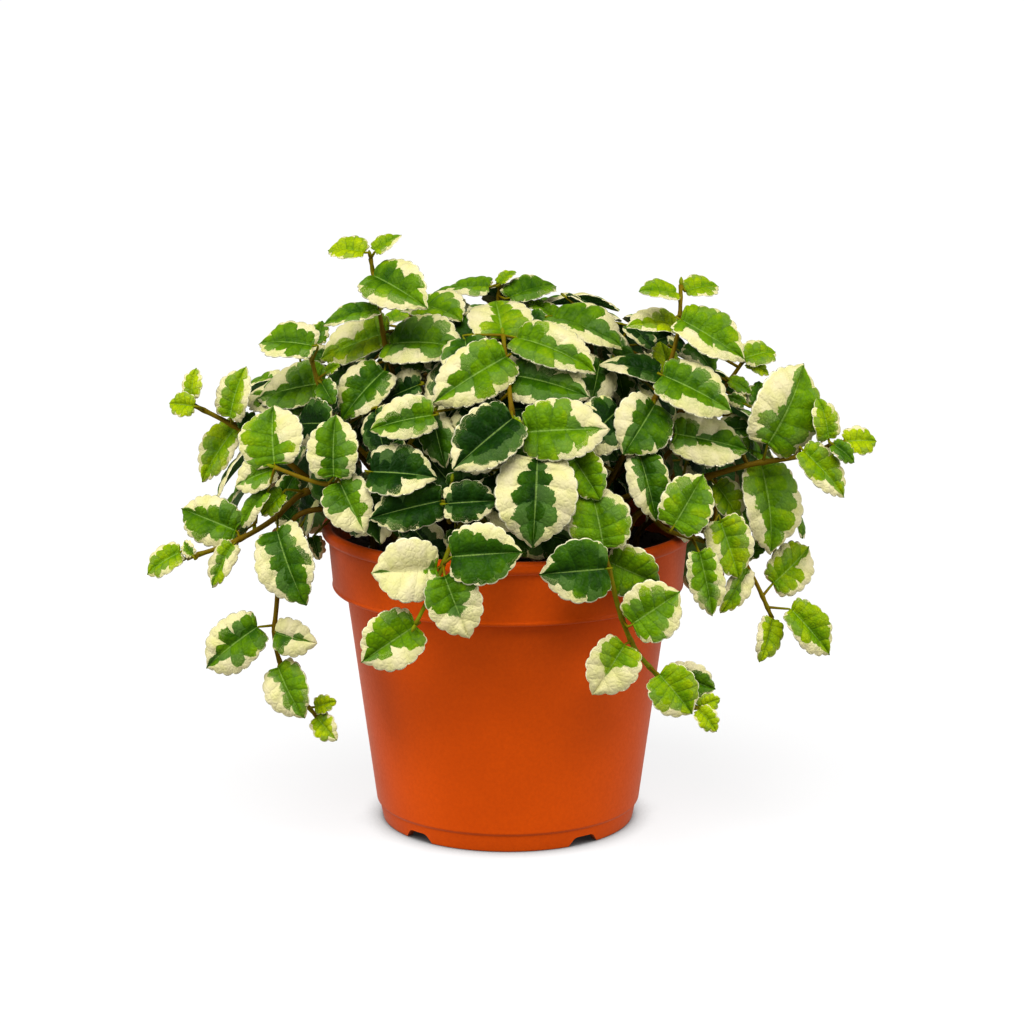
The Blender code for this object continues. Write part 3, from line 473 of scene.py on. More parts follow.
def back_route(bearing, top, bottom, draw):
    """Points down the dome, swaying a little. Under its equator the stem hangs straight down."""
    sway = draw.uniform(-BACK_SWAY, BACK_SWAY)
    route = []
    steps = max(3, round((bottom - top) / BACK_STEP))
    for i in range(steps + 1):
        polar = top + (bottom - top) * i / steps
        swayed = bearing + sway * math.sin(i * SWAY_PHASE)
        point = dome_point(swayed, min(polar, BACK_EQUATOR), BACK_DEPTH)
        point.z -= DOME_RADII.z * math.radians(max(polar - BACK_EQUATOR, 0))
        route.append(point)
    return route


def from_soil(hole, route, sideways, rise):
    """The whole line of a stem: up its hole, through the canopy and along its route."""
    first = route[0]
    out = Vector((first.x - hole.x, first.y - hole.y, 0))
    side = Vector((-out.y, out.x, 0)).normalized() if out.length > 1 else Vector((1, 0, 0))
    foot = hole + Vector((0, 0, HOLE_BOTTOM + STEM_END_GAP))
    neck = hole + Vector((0, 0, SOIL_MIDDLE + NECK))
    middle = neck.lerp(first, MIDDLE_SHARE) + side * sideways
    middle.z = max(middle.z, min(first.z + ARCH_OVER, ARCH_TOP)) + rise
    return [foot, hole + Vector((0, 0, SOIL_MIDDLE)), neck, middle, *route]


def edge_point(t, length, width):
    """(along, across) of the blade's edge, from the stalk at 0 to the tip at 1, with lobes at the stalk."""
    taper = TAPER * (1 - np.cos(math.pi * t / 2)) + (1 - TAPER) * (1 - np.cos(math.pi * t)) / 2
    along = length * (taper - LOBE * np.sin(2 * math.pi * t) * (1 - t))
    across = 0.5 * width * np.sin(math.pi * t) ** (ROUNDNESS + POINTEDNESS * t)
    return along, across


def blade_height(along, across, length, draw):
    """How far the blade's middle surface stands over the line from stalk to tip."""
    share = along / length
    bow = draw["bow"] * length * 4 * share * (1 - share)
    fold = draw["fold"] * abs(across)
    twist = draw["twist"] * across * (share - TOOTH_CENTRE)
    return bow + fold + twist


def leaf_draw(seed):
    """How one leaf bows along its rib, folds up from it and twists."""
    draw = random.Random(seed)
    return {
        "bow": draw.uniform(*BOW),
        "fold": draw.uniform(*FOLD),
        "twist": draw.uniform(*TWIST),
    }


def leaf_axes(leaf):
    """The leaf's length and the unit vectors along it, across it and up from its face."""
    length = (leaf.tip - leaf.base).length
    along = (leaf.tip - leaf.base) / length
    across = leaf.normal.cross(along).normalized()
    return length, along, across, along.cross(across)


def add_blade(bm, leaf, thickness, swell=1.0):
    """Adds the leaf's closed blade as the solid has it, wider by this much."""
    length, along, across, up = leaf_axes(leaf)
    width = leaf.width * swell
    turn = Matrix((along, across, up)).transposed()
    draw = leaf_draw(leaf.seed)

    def corner(x, y):
        height = blade_height(x, y, length, draw) + thickness / 2
        return bm.verts.new(leaf.base + turn @ Vector((x, y, height)))

    first, last = EDGE_SPAN
    steps = [first + (last - first) * i / (leaf.edge_count - 1) for i in range(leaf.edge_count)]
    tip = corner(length, 0)
    shares = RIB_SHARES[leaf.edge_count > 4]
    ribs = [corner(share * length, 0) for share in shares]
    faces = []
    stalk = []
    for side in (-1, 1):
        edge = [corner(0, side * STALK_HALF_WIDTH)]
        stalk.append(edge[0])
        for i, t in enumerate(steps):
            x, y = edge_point(t, length, width)
            grow = 1 + TOOTH * (-1) ** i
            middle = TOOTH_CENTRE * length
            edge.append(corner(middle + (x - middle) * grow, side * y * grow))
        edge.append(tip)
        half = len(steps) // 2 + 1 if len(ribs) > 1 else len(edge) - 1
        triangles = [(ribs[0], a, b) for a, b in zip(edge[:half], edge[1:])]
        if len(ribs) > 1:
            triangles.append((ribs[0], edge[half], ribs[1]))
            triangles += [(ribs[1], a, b) for a, b in zip(edge[half:], edge[half + 1 :])]
        for triangle in triangles:
            faces.append(bm.faces.new(triangle if side < 0 else triangle[::-1]))
    faces.append(bm.faces.new((ribs[0], stalk[1], stalk[0])))
    made = bmesh.ops.extrude_face_region(bm, geom=faces)
    under = [v for v in made["geom"] if isinstance(v, bmesh.types.BMVert)]
    bmesh.ops.translate(bm, verts=under, vec=-thickness * up)


def stalk_places(leaf, root):
    """The points of the stalk from the blade to just past the stem's middle, with an elbow if it turns."""
    back = (leaf.base - leaf.tip).normalized()
    end = root + (root - leaf.base).normalized() * STALK_SUNK
    if (end - leaf.base).normalized().dot(back) > STALK_STRAIGHT:
        return [leaf.base, end]
    return [leaf.base, leaf.base + back * STALK_ELBOW, end]


def tree_of(build):
    """The search tree of the mesh that the function builds."""
    bm = bmesh.new()
    build(bm)
    tree = BVHTree.FromBMesh(bm)
    bm.free()
    return tree


Placed = namedtuple("Placed", "kind stem tree middle reach")


def is_clear(blade, stalk, stem, middle, reach, placed):
    """Whether the blade and its stalk stay clear of all that is placed. Stalks may meet on their own stem."""
    for other in placed:
        if other.middle is not None and (other.middle - middle).length > other.reach + reach:
            continue
        if blade.overlap(other.tree):
            return False
        own = other.stem == stem and other.kind == "rod"
        if not own and stalk.overlap(other.tree):
            return False
    return True


def place_leaf(candidates, stem, placed):
    """The first of the leaves that has room, or None. It is added to what is placed."""
    for leaf in candidates:
        root = stalk_root(stem.line, leaf)
        back = (leaf.base - leaf.tip).normalized()
        aside = (root - leaf.base).normalized().dot(back)
        if (root - leaf.base).length > STALK_LONGEST or aside < STALK_BACKMOST:
            continue
        middle = (leaf.base + leaf.tip) / 2
        reach = (leaf.tip - leaf.base).length / 2 + STALK_LONGEST
        blade = tree_of(lambda bm: add_blade(bm, leaf, THICKNESS + 2 * ROOM, TRIAL_SWELL))
        places = stalk_places(leaf, root)
        stalk = line_tree(places, [STALK_HALF_WIDTH + ROOM] * 2)
        if not is_clear(blade, stalk, stem.name, middle, reach, placed):
            continue
        blade = tree_of(lambda bm: add_blade(bm, leaf, THICKNESS))
        stalk = line_tree(places, [STALK_HALF_WIDTH] * 2)
        placed.append(Placed("blade", stem.name, blade, middle, reach))
        placed.append(Placed("rod", stem.name, stalk, middle, reach))
        return leaf
    return None


def front_candidates(spec, stem, seed):
    """The leaf as the viewer sees it, then the same leaf nearer or farther and tilted."""
    near = nearest_depth(spec, stem)
    for tilt in FRONT_TILTS:
        for slide in FRONT_SLIDES:
            base = seen(spec.base, near + slide)
            normal = face_way(spec, base, spec.elevation + tilt)
            ray = seen(spec.tip, 0) - EYE
            tip = EYE + ray * normal.dot(base - EYE) / normal.dot(ray)
            width = spec.width or USUAL_WIDTH * (tip - base).length
            length = (tip - base).length
            edge_count = next(number for longest, number in EDGE_COUNTS if length < longest)
            yield Leaf(base, tip, normal, width, seed, edge_count)


def nearest_depth(spec, stem):
    """The depth of a leaf's stalk end: as told, or on the dome, but always near its stem."""
    if spec.depth is not None:
        return spec.depth
    own = min(stem.line, key=lambda p: (view_of(p) - Vector(spec.base)).length)
    depth = dome_depth(spec.base, spec.layer)
    if depth is None:
        return own.y - UNDER_DOME
    nearest, farthest = DEPTH_FROM_STEM
    return min(max(depth, own.y + nearest), own.y + farthest)


def view_of(point):
    """The (across, up) at which a point is seen on the upright plane."""
    on_plane = EYE + (point - EYE) * -EYE.y / (point.y - EYE.y)
    return Vector((on_plane.x, on_plane.z))


def face_way(spec, base, elevation):
    """The way that a front leaf faces: up by its elevation, and round as the dome is there."""
    bearing = spec.bearing
    if bearing is None:
        out = Vector((base.x / DOME_RADII.x**2, base.y / DOME_RADII.y**2))
        bearing = FACE_TURN * math.degrees(math.atan2(out.x, -out.y))
        bearing = min(max(bearing, -FACE_TURN_MOST), FACE_TURN_MOST)
    b, e = math.radians(bearing), math.radians(elevation)
    return Vector((math.cos(e) * math.sin(b), -math.cos(e) * math.cos(b), math.sin(e)))


def back_candidates(place, way, side, length, seed):
    """A leaf beside its stem, lying on the dome, then the same leaf turned, raised or smaller."""
    normal = (dome_normal(place) + Vector((0, 0, BACK_LEAN))).normalized()
    flat_way = (way - way.project(normal)).normalized()
    for size in BACK_SIZES:
        for turn in BACK_TURNS:
            along = Matrix.Rotation(side * math.radians(BACK_SPREAD + turn), 3, normal) @ flat_way
            for rise in BACK_RISES:
                base = place + along * BACK_ASIDE + normal * (BACK_LIFT + rise)
                tip = base + along * length * size
                yield Leaf(base, tip, normal, USUAL_WIDTH * length * size, seed, BACK_EDGE_COUNT)


def grow_stems(placed):
    """Every stem's line from the soil up, each in the free hole that suits it."""
    free = holes()
    draw = random.Random(ROUTE_SEED)
    routes = {name: front_route(name) for name in FRONT_STEMS}
    for group, rows in BACK_STEMS.items():
        for i, (bearing, top, bottom) in enumerate(rows):
            routes[f"{group}_{i + 1}"] = back_route(bearing, top, bottom, draw)
    stems = []
    for name, route in routes.items():
        aim = Vector((route[0].x, route[0].y, 0)) * HOLE_SHARE
        free.sort(key=lambda hole: (hole - aim).length)
        line, tube_made = clear_line(name, free, route, placed)
        stems.append(Stem(name, line, []))
        placed.append(Placed("rod", name, tube_made, None, 0))
    return stems


def stem_radii(name):
    """The radius of this stem at the soil and at its tip."""
    return ARM_RADIUS if name in ARMS else STEM_RADIUS


def clear_line(name, free, route, placed):
    """The first line to a near hole, straight or bent aside, that meets neither the pot nor another stem."""
    radii = stem_radii(name)
    for hole in free[:HOLES_TRIED]:
        for rise in RISES:
            for sideways in SIDESTEPS:
                line = smooth_line(from_soil(hole, route, sideways, rise), STEM_SPACING)
                trial = line_tree(line, [r + ROOM for r in radii])
                if not any(trial.overlap(other.tree) for other in placed):
                    free.remove(hole)
                    return line, line_tree(line, radii)
    raise ValueError(f"no clear line for {name}")


def line_tree(line, radii):
    """The search tree of a stem's tube."""
    n = ROD_SIDES
    points, sides = [], []
    for i, place in enumerate(line):
        way = line[min(i + 1, len(line) - 1)] - line[max(i - 1, 0)]
        turn = way.to_track_quat("Z", "Y").to_matrix()
        radius = radii[0] + (radii[1] - radii[0]) * i / (len(line) - 1)
        for k in range(n):
            a = math.radians(360 / n * k)
            points.append(place + turn @ Vector((radius * math.cos(a), radius * math.sin(a), 0)))
    for i in range(len(line) - 1):
        for k in range(n):
            a, b = n * i + k, n * i + (k + 1) % n
            sides.append((a, b, b + n, a + n))
    return BVHTree.FromPolygons(points, sides)


def grow_leaves(stems, placed):
    """The leaves of each stem: the front ones layer by layer, then those behind."""
    by_name = {stem.name: stem for stem in stems}
    wanted = []
    for name, (_, _, *rows) in FRONT_STEMS.items():
        wanted += [(spec.layer, name, i, spec) for i, spec in enumerate(rows)]
    for layer, name, i, spec in sorted(wanted, key=lambda w: w[0]):
        stem = by_name[name]
        leaf = place_leaf(front_candidates(spec, stem, f"{name} {i}"), stem, placed)
        if leaf is None:
            print("no room for", name, i)
        else:
            stem.leaves.append(leaf)
    draw = random.Random(BACK_SEED)
    for stem in stems:
        if stem.name not in FRONT_STEMS:
            grow_back_leaves(stem, placed, draw)


def grow_back_leaves(stem, placed, draw):
    """Leaves by turns left and right of a stem behind, and one at its tip."""
    start = first_in_canopy(stem.line)
    fine = smooth_line(stem.line[start:], BACK_SPACING)
    side = draw.choice((-1, 1))
    for i, place in enumerate(fine):
        before, after = fine[max(i - 1, 0)], fine[min(i + 1, len(fine) - 1)]
        way = (after - before).normalized()
        length = draw.uniform(*BACK_LENGTHS)
        if i == len(fine) - 1:
            length *= BACK_TIP_SHARE
        leaf = place_leaf(back_candidates(place, way, side, length, f"{stem.name} {i}"), stem, placed)
        if leaf is not None:
            stem.leaves.append(leaf)
        side = -side


def first_in_canopy(line):
    """The index of the line's first point near the dome's surface."""
    for i, place in enumerate(line):
        from_centre = Vector((a / r for a, r in zip(place - DOME_CENTRE, DOME_RADII)))
        if from_centre.length > IN_CANOPY:
            return min(i, len(line) - 2)
    return 0


# Fine blades: small sizes in millimetres, counts, and how steeply a form rises towards the edge
TOOTH_LENGTH = 2.5
TOOTH_COUNTS = (5, 11)
TOOTH_ROWS = 5
TOOTH_DEPTH = 0.6
COLUMNS = (0, 0.12, 0.3, 0.5, 0.7, 0.86, 0.955, 1)
PLAIN_COLUMNS = (0, 0.28, 0.62, 0.92, 1)
BLADE_HALF = 0.14
RIB_BEHIND = 1.8
VEIN_SWEEP = 1.2
VEINS = 6.2
RIB_SUNK = 0.28
PUCKER = 0.03
HALF_BULGE = 0.04
EDGE_WAVE = 0.6
EDGE_WAVES = (1.3, 2.6)
EDGE_ROLL = 0.6
LARGE_LEAF = 25
SCALLOP_ROUND = 0.75
SCALLOP_LEVEL = 0.6
PILLOW_ROUND = 0.8
RIM_POWER = 6
ROLL_POWER = 4

# Looks: how much of each half is green, what a word takes away from that or makes of the tone, and what
# the leaves without words draw
USUAL_GREEN = (0.84, 0.93)
SOME_CREAM = 0.34
ALL_ROUND = 0.2
# A tone is partly the leaf's own green, young or old, and partly painted light and shade: lower for leaves
# that lie in the canopy's shadow, higher for leaves in the light
TONES_AND_PAINTED_LIGHT = {"deep": 0.02, "dark": 0.22, "dim": 0.34, "light": 0.56, "bright": 0.7, "young": 0.86}
USUAL_TONES = (0.4, 0.48)
DRAWN_COUNTS = (1, 1, 2, 3)
DRAWN_CREAM = (0.1, 0.5)
DRAWN_GREEN = (0.7, 0.95)
LOOK_CENTRE = 0.45
PATCH_FALL = 1.5
COMPASS = {
    "N": (0, 1),
    "NE": (0.7, 0.7),
    "E": (1, 0),
    "SE": (0.7, -0.7),
    "S": (0, -1),
    "SW": (-0.7, -0.7),
    "W": (-1, 0),
    "NW": (-0.7, 0.7),
}

# Fine stems and stalks
FINE_SPACING = 2
STEM_SIDES = 9
SLIMMING = 0.86
STEM_AGES = (1, 0.25)
GREEN_AGES = (0.35, 0.05)
GREEN_STEMS = ("hang_front_left", "hang_front_right")
STALK_SIDES = 6
STALK_RADII = (0.36, 0.5)
NODE_SWELLING = 0.3
NODE_LENGTH = 1.3
FINE_STALK_SPACING = 1.5
STALK_AGES = (0.1, 0.35)
STALK_UNDER = 0.8
STALK_BELOW = 0.1
STALK_BEND = 0.4
BUD_LENGTH = 2.8
BUD_RADIUS = 0.66
BUD_STEPS = 7
BUD_START = 0.12
BUD_SPAN = 0.86
BUD_ROUND = 0.7

Look = namedtuple("Look", "green patches tone seed")


def add_object(name, data):
    """A new object of the scene with this mesh, light or camera."""
    made = bpy.data.objects.new(name, data)
    bpy.context.scene.collection.objects.link(made)
    return made


class Form:
    """The points, faces and surface values of one piece, gathered part by part."""

    def __init__(self):
        self.points = []
        self.faces = []
        self.slots = []
        self.places = []
        self.kinds = []

    def add(self, points, faces, slot, places, kinds):
        """Adds a closed part: its points in millimetres, its faces, and two triples of values a point."""
        first = len(self.points)
        self.points += [tuple(p) for p in points]
        self.faces += [[first + i for i in face] for face in faces]
        self.slots += [slot] * len(faces)
        self.places += [tuple(p) for p in places]
        self.kinds += [tuple(k) for k in kinds]

    def build(self, name, materials):
        """The piece as a smooth mesh object."""
        mesh = bpy.data.meshes.new(name)
        mesh.from_pydata([tuple(c * MM for c in p) for p in self.points], [], self.faces)
        mesh.polygons.foreach_set("material_index", self.slots)
        mesh.polygons.foreach_set("use_smooth", [True] * len(self.faces))
        for attribute, values in (("leaf_place", self.places), ("leaf_kind", self.kinds)):
            made = mesh.attributes.new(attribute, "FLOAT_VECTOR", "POINT")
            made.data.foreach_set("vector", np.array(values, float).ravel())
        for own in materials:
            mesh.materials.append(own)
        mesh.update()
        return add_object(name, mesh)


grids = {}


def leaf_grid(rows, columns):
    """The (under, side, row, column) of a closed blade's points, and its faces."""
    if (rows, columns) in grids:
        return grids[rows, columns]
    index = {}

    def point(under, side, i, j):
        if i in (0, rows):
            key = (0, 0, i, 0)
        elif j == columns - 1:
            key = (0, side, i, j)
        elif j == 0:
            key = (under, 0, i, 0)
        else:
            key = (under, side, i, j)
        return index.setdefault(key, len(index))

    faces = []
    for under in (0, 1):
        for side in (-1, 1):
            for i in range(rows):
                for j in range(columns - 1):
                    corners = ((i, j), (i + 1, j), (i + 1, j + 1), (i, j + 1))
                    face = list(dict.fromkeys(point(under, side, *corner) for corner in corners))
                    faces.append(face[::-1] if (side < 0) != (under == 1) else face)
    grids[rows, columns] = np.array(list(index)), faces
    return grids[rows, columns]


def add_leaf(form, leaf, look, columns=COLUMNS, tooth_rows=TOOTH_ROWS):
    """Adds a fine blade on the plain one's surface, with scalloped edge, sunk veins and wavy margin."""
    length, along, across, up = leaf_axes(leaf)
    draw = random.Random(leaf.seed + " fine")
    fewest, most = TOOTH_COUNTS
    teeth = min(max(round(length / TOOTH_LENGTH), fewest), most)
    rows = teeth * tooth_rows
    keys, faces = leaf_grid(rows, len(columns))
    under, side, i, j = keys.T
    reach = np.array(columns)[j]
    share = i / rows
    slip = draw.uniform(-0.5, 0.5) / teeth * np.sin(2 * math.pi * share + draw.uniform(0, 6))
    t = share + slip * share * (1 - share)
    edge_x, edge_y = edge_point(t, length, leaf.width)
    scallop = np.abs(np.sin(math.pi * teeth * share)) ** SCALLOP_ROUND - SCALLOP_LEVEL
    scallop = scallop * np.clip(8 * t - 0.5, 0, 1) * np.clip(8 * (1 - t), 0, 1)
    grow = 1 + 2 * TOOTH_DEPTH / leaf.width * scallop * reach**RIM_POWER
    rib = length * t**RIB_BEHIND
    middle = TOOTH_CENTRE * length
    x = middle + (rib + (edge_x - rib) * reach**VEIN_SWEEP - middle) * grow
    y = side * edge_y * reach * grow
    vein = VEINS * t
    between = np.abs(np.sin(math.pi * vein)) ** PILLOW_ROUND
    z = blade_height(x, y, length, leaf_draw(leaf.seed))
    z = z + (HALF_BULGE * np.sin(math.pi * t) + PUCKER * between) * length * 4 * reach * (1 - reach)
    z = z - RIB_SUNK * (reach == 0) * np.sin(math.pi * t)
    waves = 2 * math.pi * draw.uniform(*EDGE_WAVES)
    wave = np.sin(waves * t + side * draw.uniform(0, 3) + draw.uniform(0, 6))
    z = z + EDGE_WAVE * length / LARGE_LEAF * wave * reach**2 * np.sin(math.pi * t)
    z = z - EDGE_ROLL * reach**ROLL_POWER * length / LARGE_LEAF
    z = z + np.where(under == 1, -1, 1) * BLADE_HALF * (1 - reach**RIM_POWER)
    points = np.array(leaf.base) + np.outer(x, along) + np.outer(y, across) + np.outer(z, up)
    green = look.green - cream_by_side(edge_x - LOOK_CENTRE * length, edge_y, side, look.patches)
    places = np.column_stack((vein, side * reach, under))
    kinds = np.column_stack((green, np.full(len(t), look.seed), np.full(len(t), look.tone)))
    form.add(points, faces, 0, places, kinds)


def cream_by_side(x, y, side, patches):
    """How much wider the cream margin is on each side. The rib has the less of the two."""
    here = cream_there(x, np.where(side == 0, 1, side) * y, patches)
    other = cream_there(x, -y, patches)
    return np.where(side == 0, np.minimum(here, other), here)


def cream_there(x, y, patches):
    """How much wider the cream margin is at these points of the outline."""
    size = np.maximum(np.hypot(x, y), 0.001)
    more = np.zeros(len(x))
    for (way_x, way_y), strength in patches:
        more += strength * np.maximum((x * way_x + y * way_y) / size, 0) ** PATCH_FALL
    return more


def front_look(leaf, spec):
    """The look that the words say, in the leaf's own (along, across left)."""
    draw = random.Random(leaf.seed + " look")
    along = (Vector(spec.tip) - Vector(spec.base)).normalized()
    left = Vector((-along.y, along.x))
    green = draw.uniform(*USUAL_GREEN)
    tone = draw.uniform(*USUAL_TONES)
    patches = []
    for word in spec.words.split():
        if word == "all":
            green -= ALL_ROUND
        elif word in TONES_AND_PAINTED_LIGHT:
            tone = TONES_AND_PAINTED_LIGHT[word]
        else:
            way = Vector(COMPASS[word]).normalized()
            patches.append(((way.dot(along), way.dot(left)), SOME_CREAM))
    return Look(green, patches, tone, draw.random())


def drawn_look(seed, tones):
    """A look with one to three cream patches at random."""
    draw = random.Random(seed + " look")
    patches = []
    for _ in range(draw.choice(DRAWN_COUNTS)):
        a = draw.uniform(0, 2 * math.pi)
        patches.append(((math.cos(a), math.sin(a)), draw.uniform(*DRAWN_CREAM)))
    green = draw.uniform(*DRAWN_GREEN)
    tone = draw.uniform(*tones)
    return Look(green, patches, tone, draw.random())


def add_tube(form, line, radii, sides, age):
    """Adds a closed round tube along the line, with a radius at each point and its age at both ends."""
    points, faces = [], []
    way = (line[1] - line[0]).normalized()
    side = way.orthogonal().normalized()
    for i, place in enumerate(line):
        way = (line[min(i + 1, len(line) - 1)] - line[max(i - 1, 0)]).normalized()
        side = (side - way * side.dot(way)).normalized()
        other = way.cross(side)
        for k in range(sides):
            a = 2 * math.pi * k / sides
            points.append(place + (side * math.cos(a) + other * math.sin(a)) * radii[i])
    for i in range(len(line) - 1):
        for k in range(sides):
            a, b = i * sides + k, i * sides + (k + 1) % sides
            faces.append((a, b, b + sides, a + sides))
    last = (len(line) - 1) * sides
    faces.append(tuple(range(sides))[::-1])
    faces.append(tuple(range(last, last + sides)))
    places = [(i // sides, (i % sides) / sides, 0) for i in range(len(points))]
    ages = np.interp(np.arange(len(points)) // sides, (0, len(line) - 1), age)
    form.add(points, faces, 1, places, [(a, 0, 0) for a in ages])


def nearest_of(line, place):
    """The point of the line that is nearest to this place."""
    return min(line, key=lambda p: (p - place).length)


def add_stem(form, stem):
    """Adds the whole stem, thicker at its nodes, the leaves' stalks, and a bud at its tip."""
    fine = smooth_line(stem.line, FINE_SPACING)
    roots = [nearest_of(fine, stalk_root(stem.line, leaf)) for leaf in stem.leaves]
    first, last = stem_radii(stem.name)
    radii = []
    for i, place in enumerate(fine):
        radius = SLIMMING * (first + (last - first) * i / (len(fine) - 1))
        near = min(((place - root).length for root in roots), default=99)
        radii.append(radius * (1 + NODE_SWELLING * math.exp(-((near / NODE_LENGTH) ** 2))))
    add_tube(form, fine, radii, STEM_SIDES, GREEN_AGES if stem.name in GREEN_STEMS else STEM_AGES)
    for leaf, root in zip(stem.leaves, roots):
        add_petiole(form, leaf, root)
    add_bud(form, fine[-1], (fine[-1] - fine[-2]).normalized())


def add_petiole(form, leaf, root):
    """Adds a leaf's stalk, curving from under its blade to the stem."""
    length, along, across, up = leaf_axes(leaf)
    start = leaf.base + along * STALK_UNDER - up * STALK_BELOW
    bend = leaf.base - along * STALK_ELBOW - up * STALK_BELOW
    if (root - leaf.base).normalized().dot(-along) > STALK_STRAIGHT:
        bend = leaf.base.lerp(root, STALK_BEND) - up * STALK_BELOW
    line = smooth_line([start, leaf.base - up * STALK_BELOW, bend, root], FINE_STALK_SPACING)
    thin, thick = STALK_RADII
    radii = [thin + (thick - thin) * i / (len(line) - 1) for i in range(len(line))]
    add_tube(form, line, radii, STALK_SIDES, STALK_AGES)


def add_bud(form, place, way):
    """Adds a slender folded bud that points along the stem."""
    line = [place + way * BUD_LENGTH * i / BUD_STEPS for i in range(BUD_STEPS + 1)]
    shares = [BUD_START + BUD_SPAN * i / BUD_STEPS for i in range(BUD_STEPS + 1)]
    radii = [BUD_RADIUS * math.sin(math.pi * share) ** BUD_ROUND for share in shares]
    add_tube(form, line, radii, STALK_SIDES, (0, 0))


# Small leaves inside and behind, on smaller domes: scale, count and lengths
SHELLS = [
    (0.97, 90, (17, 23)),
    (0.86, 80, (16, 22)),
    (0.74, 80, (16, 22)),
    (0.58, 50, (15, 20)),
    (0.4, 26, (14, 18)),
]
SHELL_JITTER = (0.96, 1.04)
SHELL_TURNS = (-60, 60)
FILL_LOWEST = 112
FILL_CLEAR_OF_LIP = 101
FILL_SIZES = (1, 0.8, 0.64)
FILL_TURNS = (0, 40, -40, 85, -85, 140)
FILL_RISES = (0, 3, -3, -7)
FILL_STALKS = (2, 24)
# Small leaves inside the canopy get low tones: painted shade for leaves that lie in its shadow
FILL_SHADED_TONES = (-0.1, 0.25)
IN_VIEW = 0.05
LOW_FILL_FROM = 25
LOW_FILL_ASIDE = 42
LOW_FILL_UNDER = 12
FILL_LEAN = 0.7
FILL_FALL = 0.6
FILL_SPACING = 3
FILL_OVER_SOIL = 4
FILL_PAST_LIP = 6
FILL_STALK_SHARE = 0.85
LOOKED_AT = 0.35
OUTER_SHELL = 0.8

# Small leaves for gaps that are in view: the (across, up) of each one's middle, and its length
GAPS = [
    (62.3, 151.6, 13),
    (48.2, 160.3, 11),
    (80, 143, 9),
    (72.8, 138, 10),
    (73.9, 129.9, 11),
    (76.6, 100.7, 12),
    (78.5, 88.5, 10),
    (-28, 151, 12),
    (-60, 160, 8),
    (-62.1, 90.4, 13),
    (36.6, 141.3, 11),
    (-24.2, 149.7, 9),
    (-60.3, 153.9, 9),
    (-70.5, 110, 10),
    (-72.5, 100.5, 11),
    (9.6, 165.2, 10),
]
GAP_DEPTHS = (-12, -4, 4, 12, 22, 32)
GAP_LEAN = 0.5
# Gap leaves get lower tones too: painted shade for leaves deep in the gaps
GAP_SHADED_TONES = (0.1, 0.45)
GAP_TURN = 70

Canopy = namedtuple("Canopy", "tree points placed front")


def grow_fill(stems, placed):
    """Small leaves for the gaps, each with the stem that its stalk springs from."""
    lowest = SOIL_MIDDLE + FILL_OVER_SOIL
    points = [(p, stem) for stem in stems for p in smooth_line(stem.line, FILL_SPACING) if p.z > lowest]
    tree = KDTree(len(points))
    for i, (point, _) in enumerate(points):
        tree.insert(point, i)
    tree.balance()
    leaves = [leaf for stem in stems if stem.name in FRONT_STEMS for leaf in stem.leaves]
    front = tree_of(lambda bm: [add_blade(bm, leaf, THICKNESS) for leaf in leaves])
    canopy = Canopy(tree, points, placed, front)
    grown = [found for found in (fill_gap(k, gap, canopy) for k, gap in enumerate(GAPS)) if found]
    print("gaps filled:", len(grown), "of", len(GAPS))
    draw = random.Random(FILL_SEED)
    for scale, count, lengths in SHELLS:
        for k in range(count):
            share = (k + 0.5) / count * (1 - math.cos(math.radians(FILL_LOWEST)))
            polar = math.degrees(math.acos(1 - share))
            place = dome_point(k * GOLDEN + 100 * scale, polar, scale * draw.uniform(*SHELL_JITTER))
            length = draw.uniform(*lengths)
            turn = draw.uniform(*SHELL_TURNS)
            if fills(place, scale):
                outward = Vector((place.x, place.y, 0)).normalized()
                normal = (dome_normal(place) + FILL_LEAN * outward).normalized()
                found = fill_leaf(place, normal, length, turn, f"fill {len(grown)} {k}", canopy)
                if found:
                    grown.append(found)
    return grown


def fill_gap(k, gap, canopy):
    """A small leaf that faces the eye, as near as it has room in this gap, or None."""
    for depth in GAP_DEPTHS:
        place = seen(gap[:2], depth)
        normal = ((EYE - place).normalized() + Vector((0, 0, GAP_LEAN))).normalized()
        found = fill_leaf(place, normal, gap[2], GAP_TURN * k, f"gap {k}", canopy)
        if found:
            return found
    return None


def fills(place, scale):
    """Whether a small leaf may go here: over the soil or round the back, but not before those in view."""
    if math.hypot(place.x, place.y) < LIP[3][0] + FILL_PAST_LIP:
        return place.z > FILL_CLEAR_OF_LIP
    is_aside = place.y < LOW_FILL_FROM or abs(place.x) > LOW_FILL_ASIDE
    if place.z < DOME_CENTRE.z + LOW_FILL_UNDER and is_aside:
        return False
    to_eye = (EYE - place).normalized()
    return scale < OUTER_SHELL or dome_normal(place).dot(to_eye) < IN_VIEW


def hides_some(leaf, front):
    """Whether the eye sees this leaf before one of those in front."""
    _, _, across, _ = leaf_axes(leaf)
    middle = (leaf.base + leaf.tip) / 2
    side = across * leaf.width * LOOKED_AT
    places = (leaf.base, leaf.tip, middle, middle + side, middle - side)
    return any(front.ray_cast(p, p - EYE)[0] for p in places)


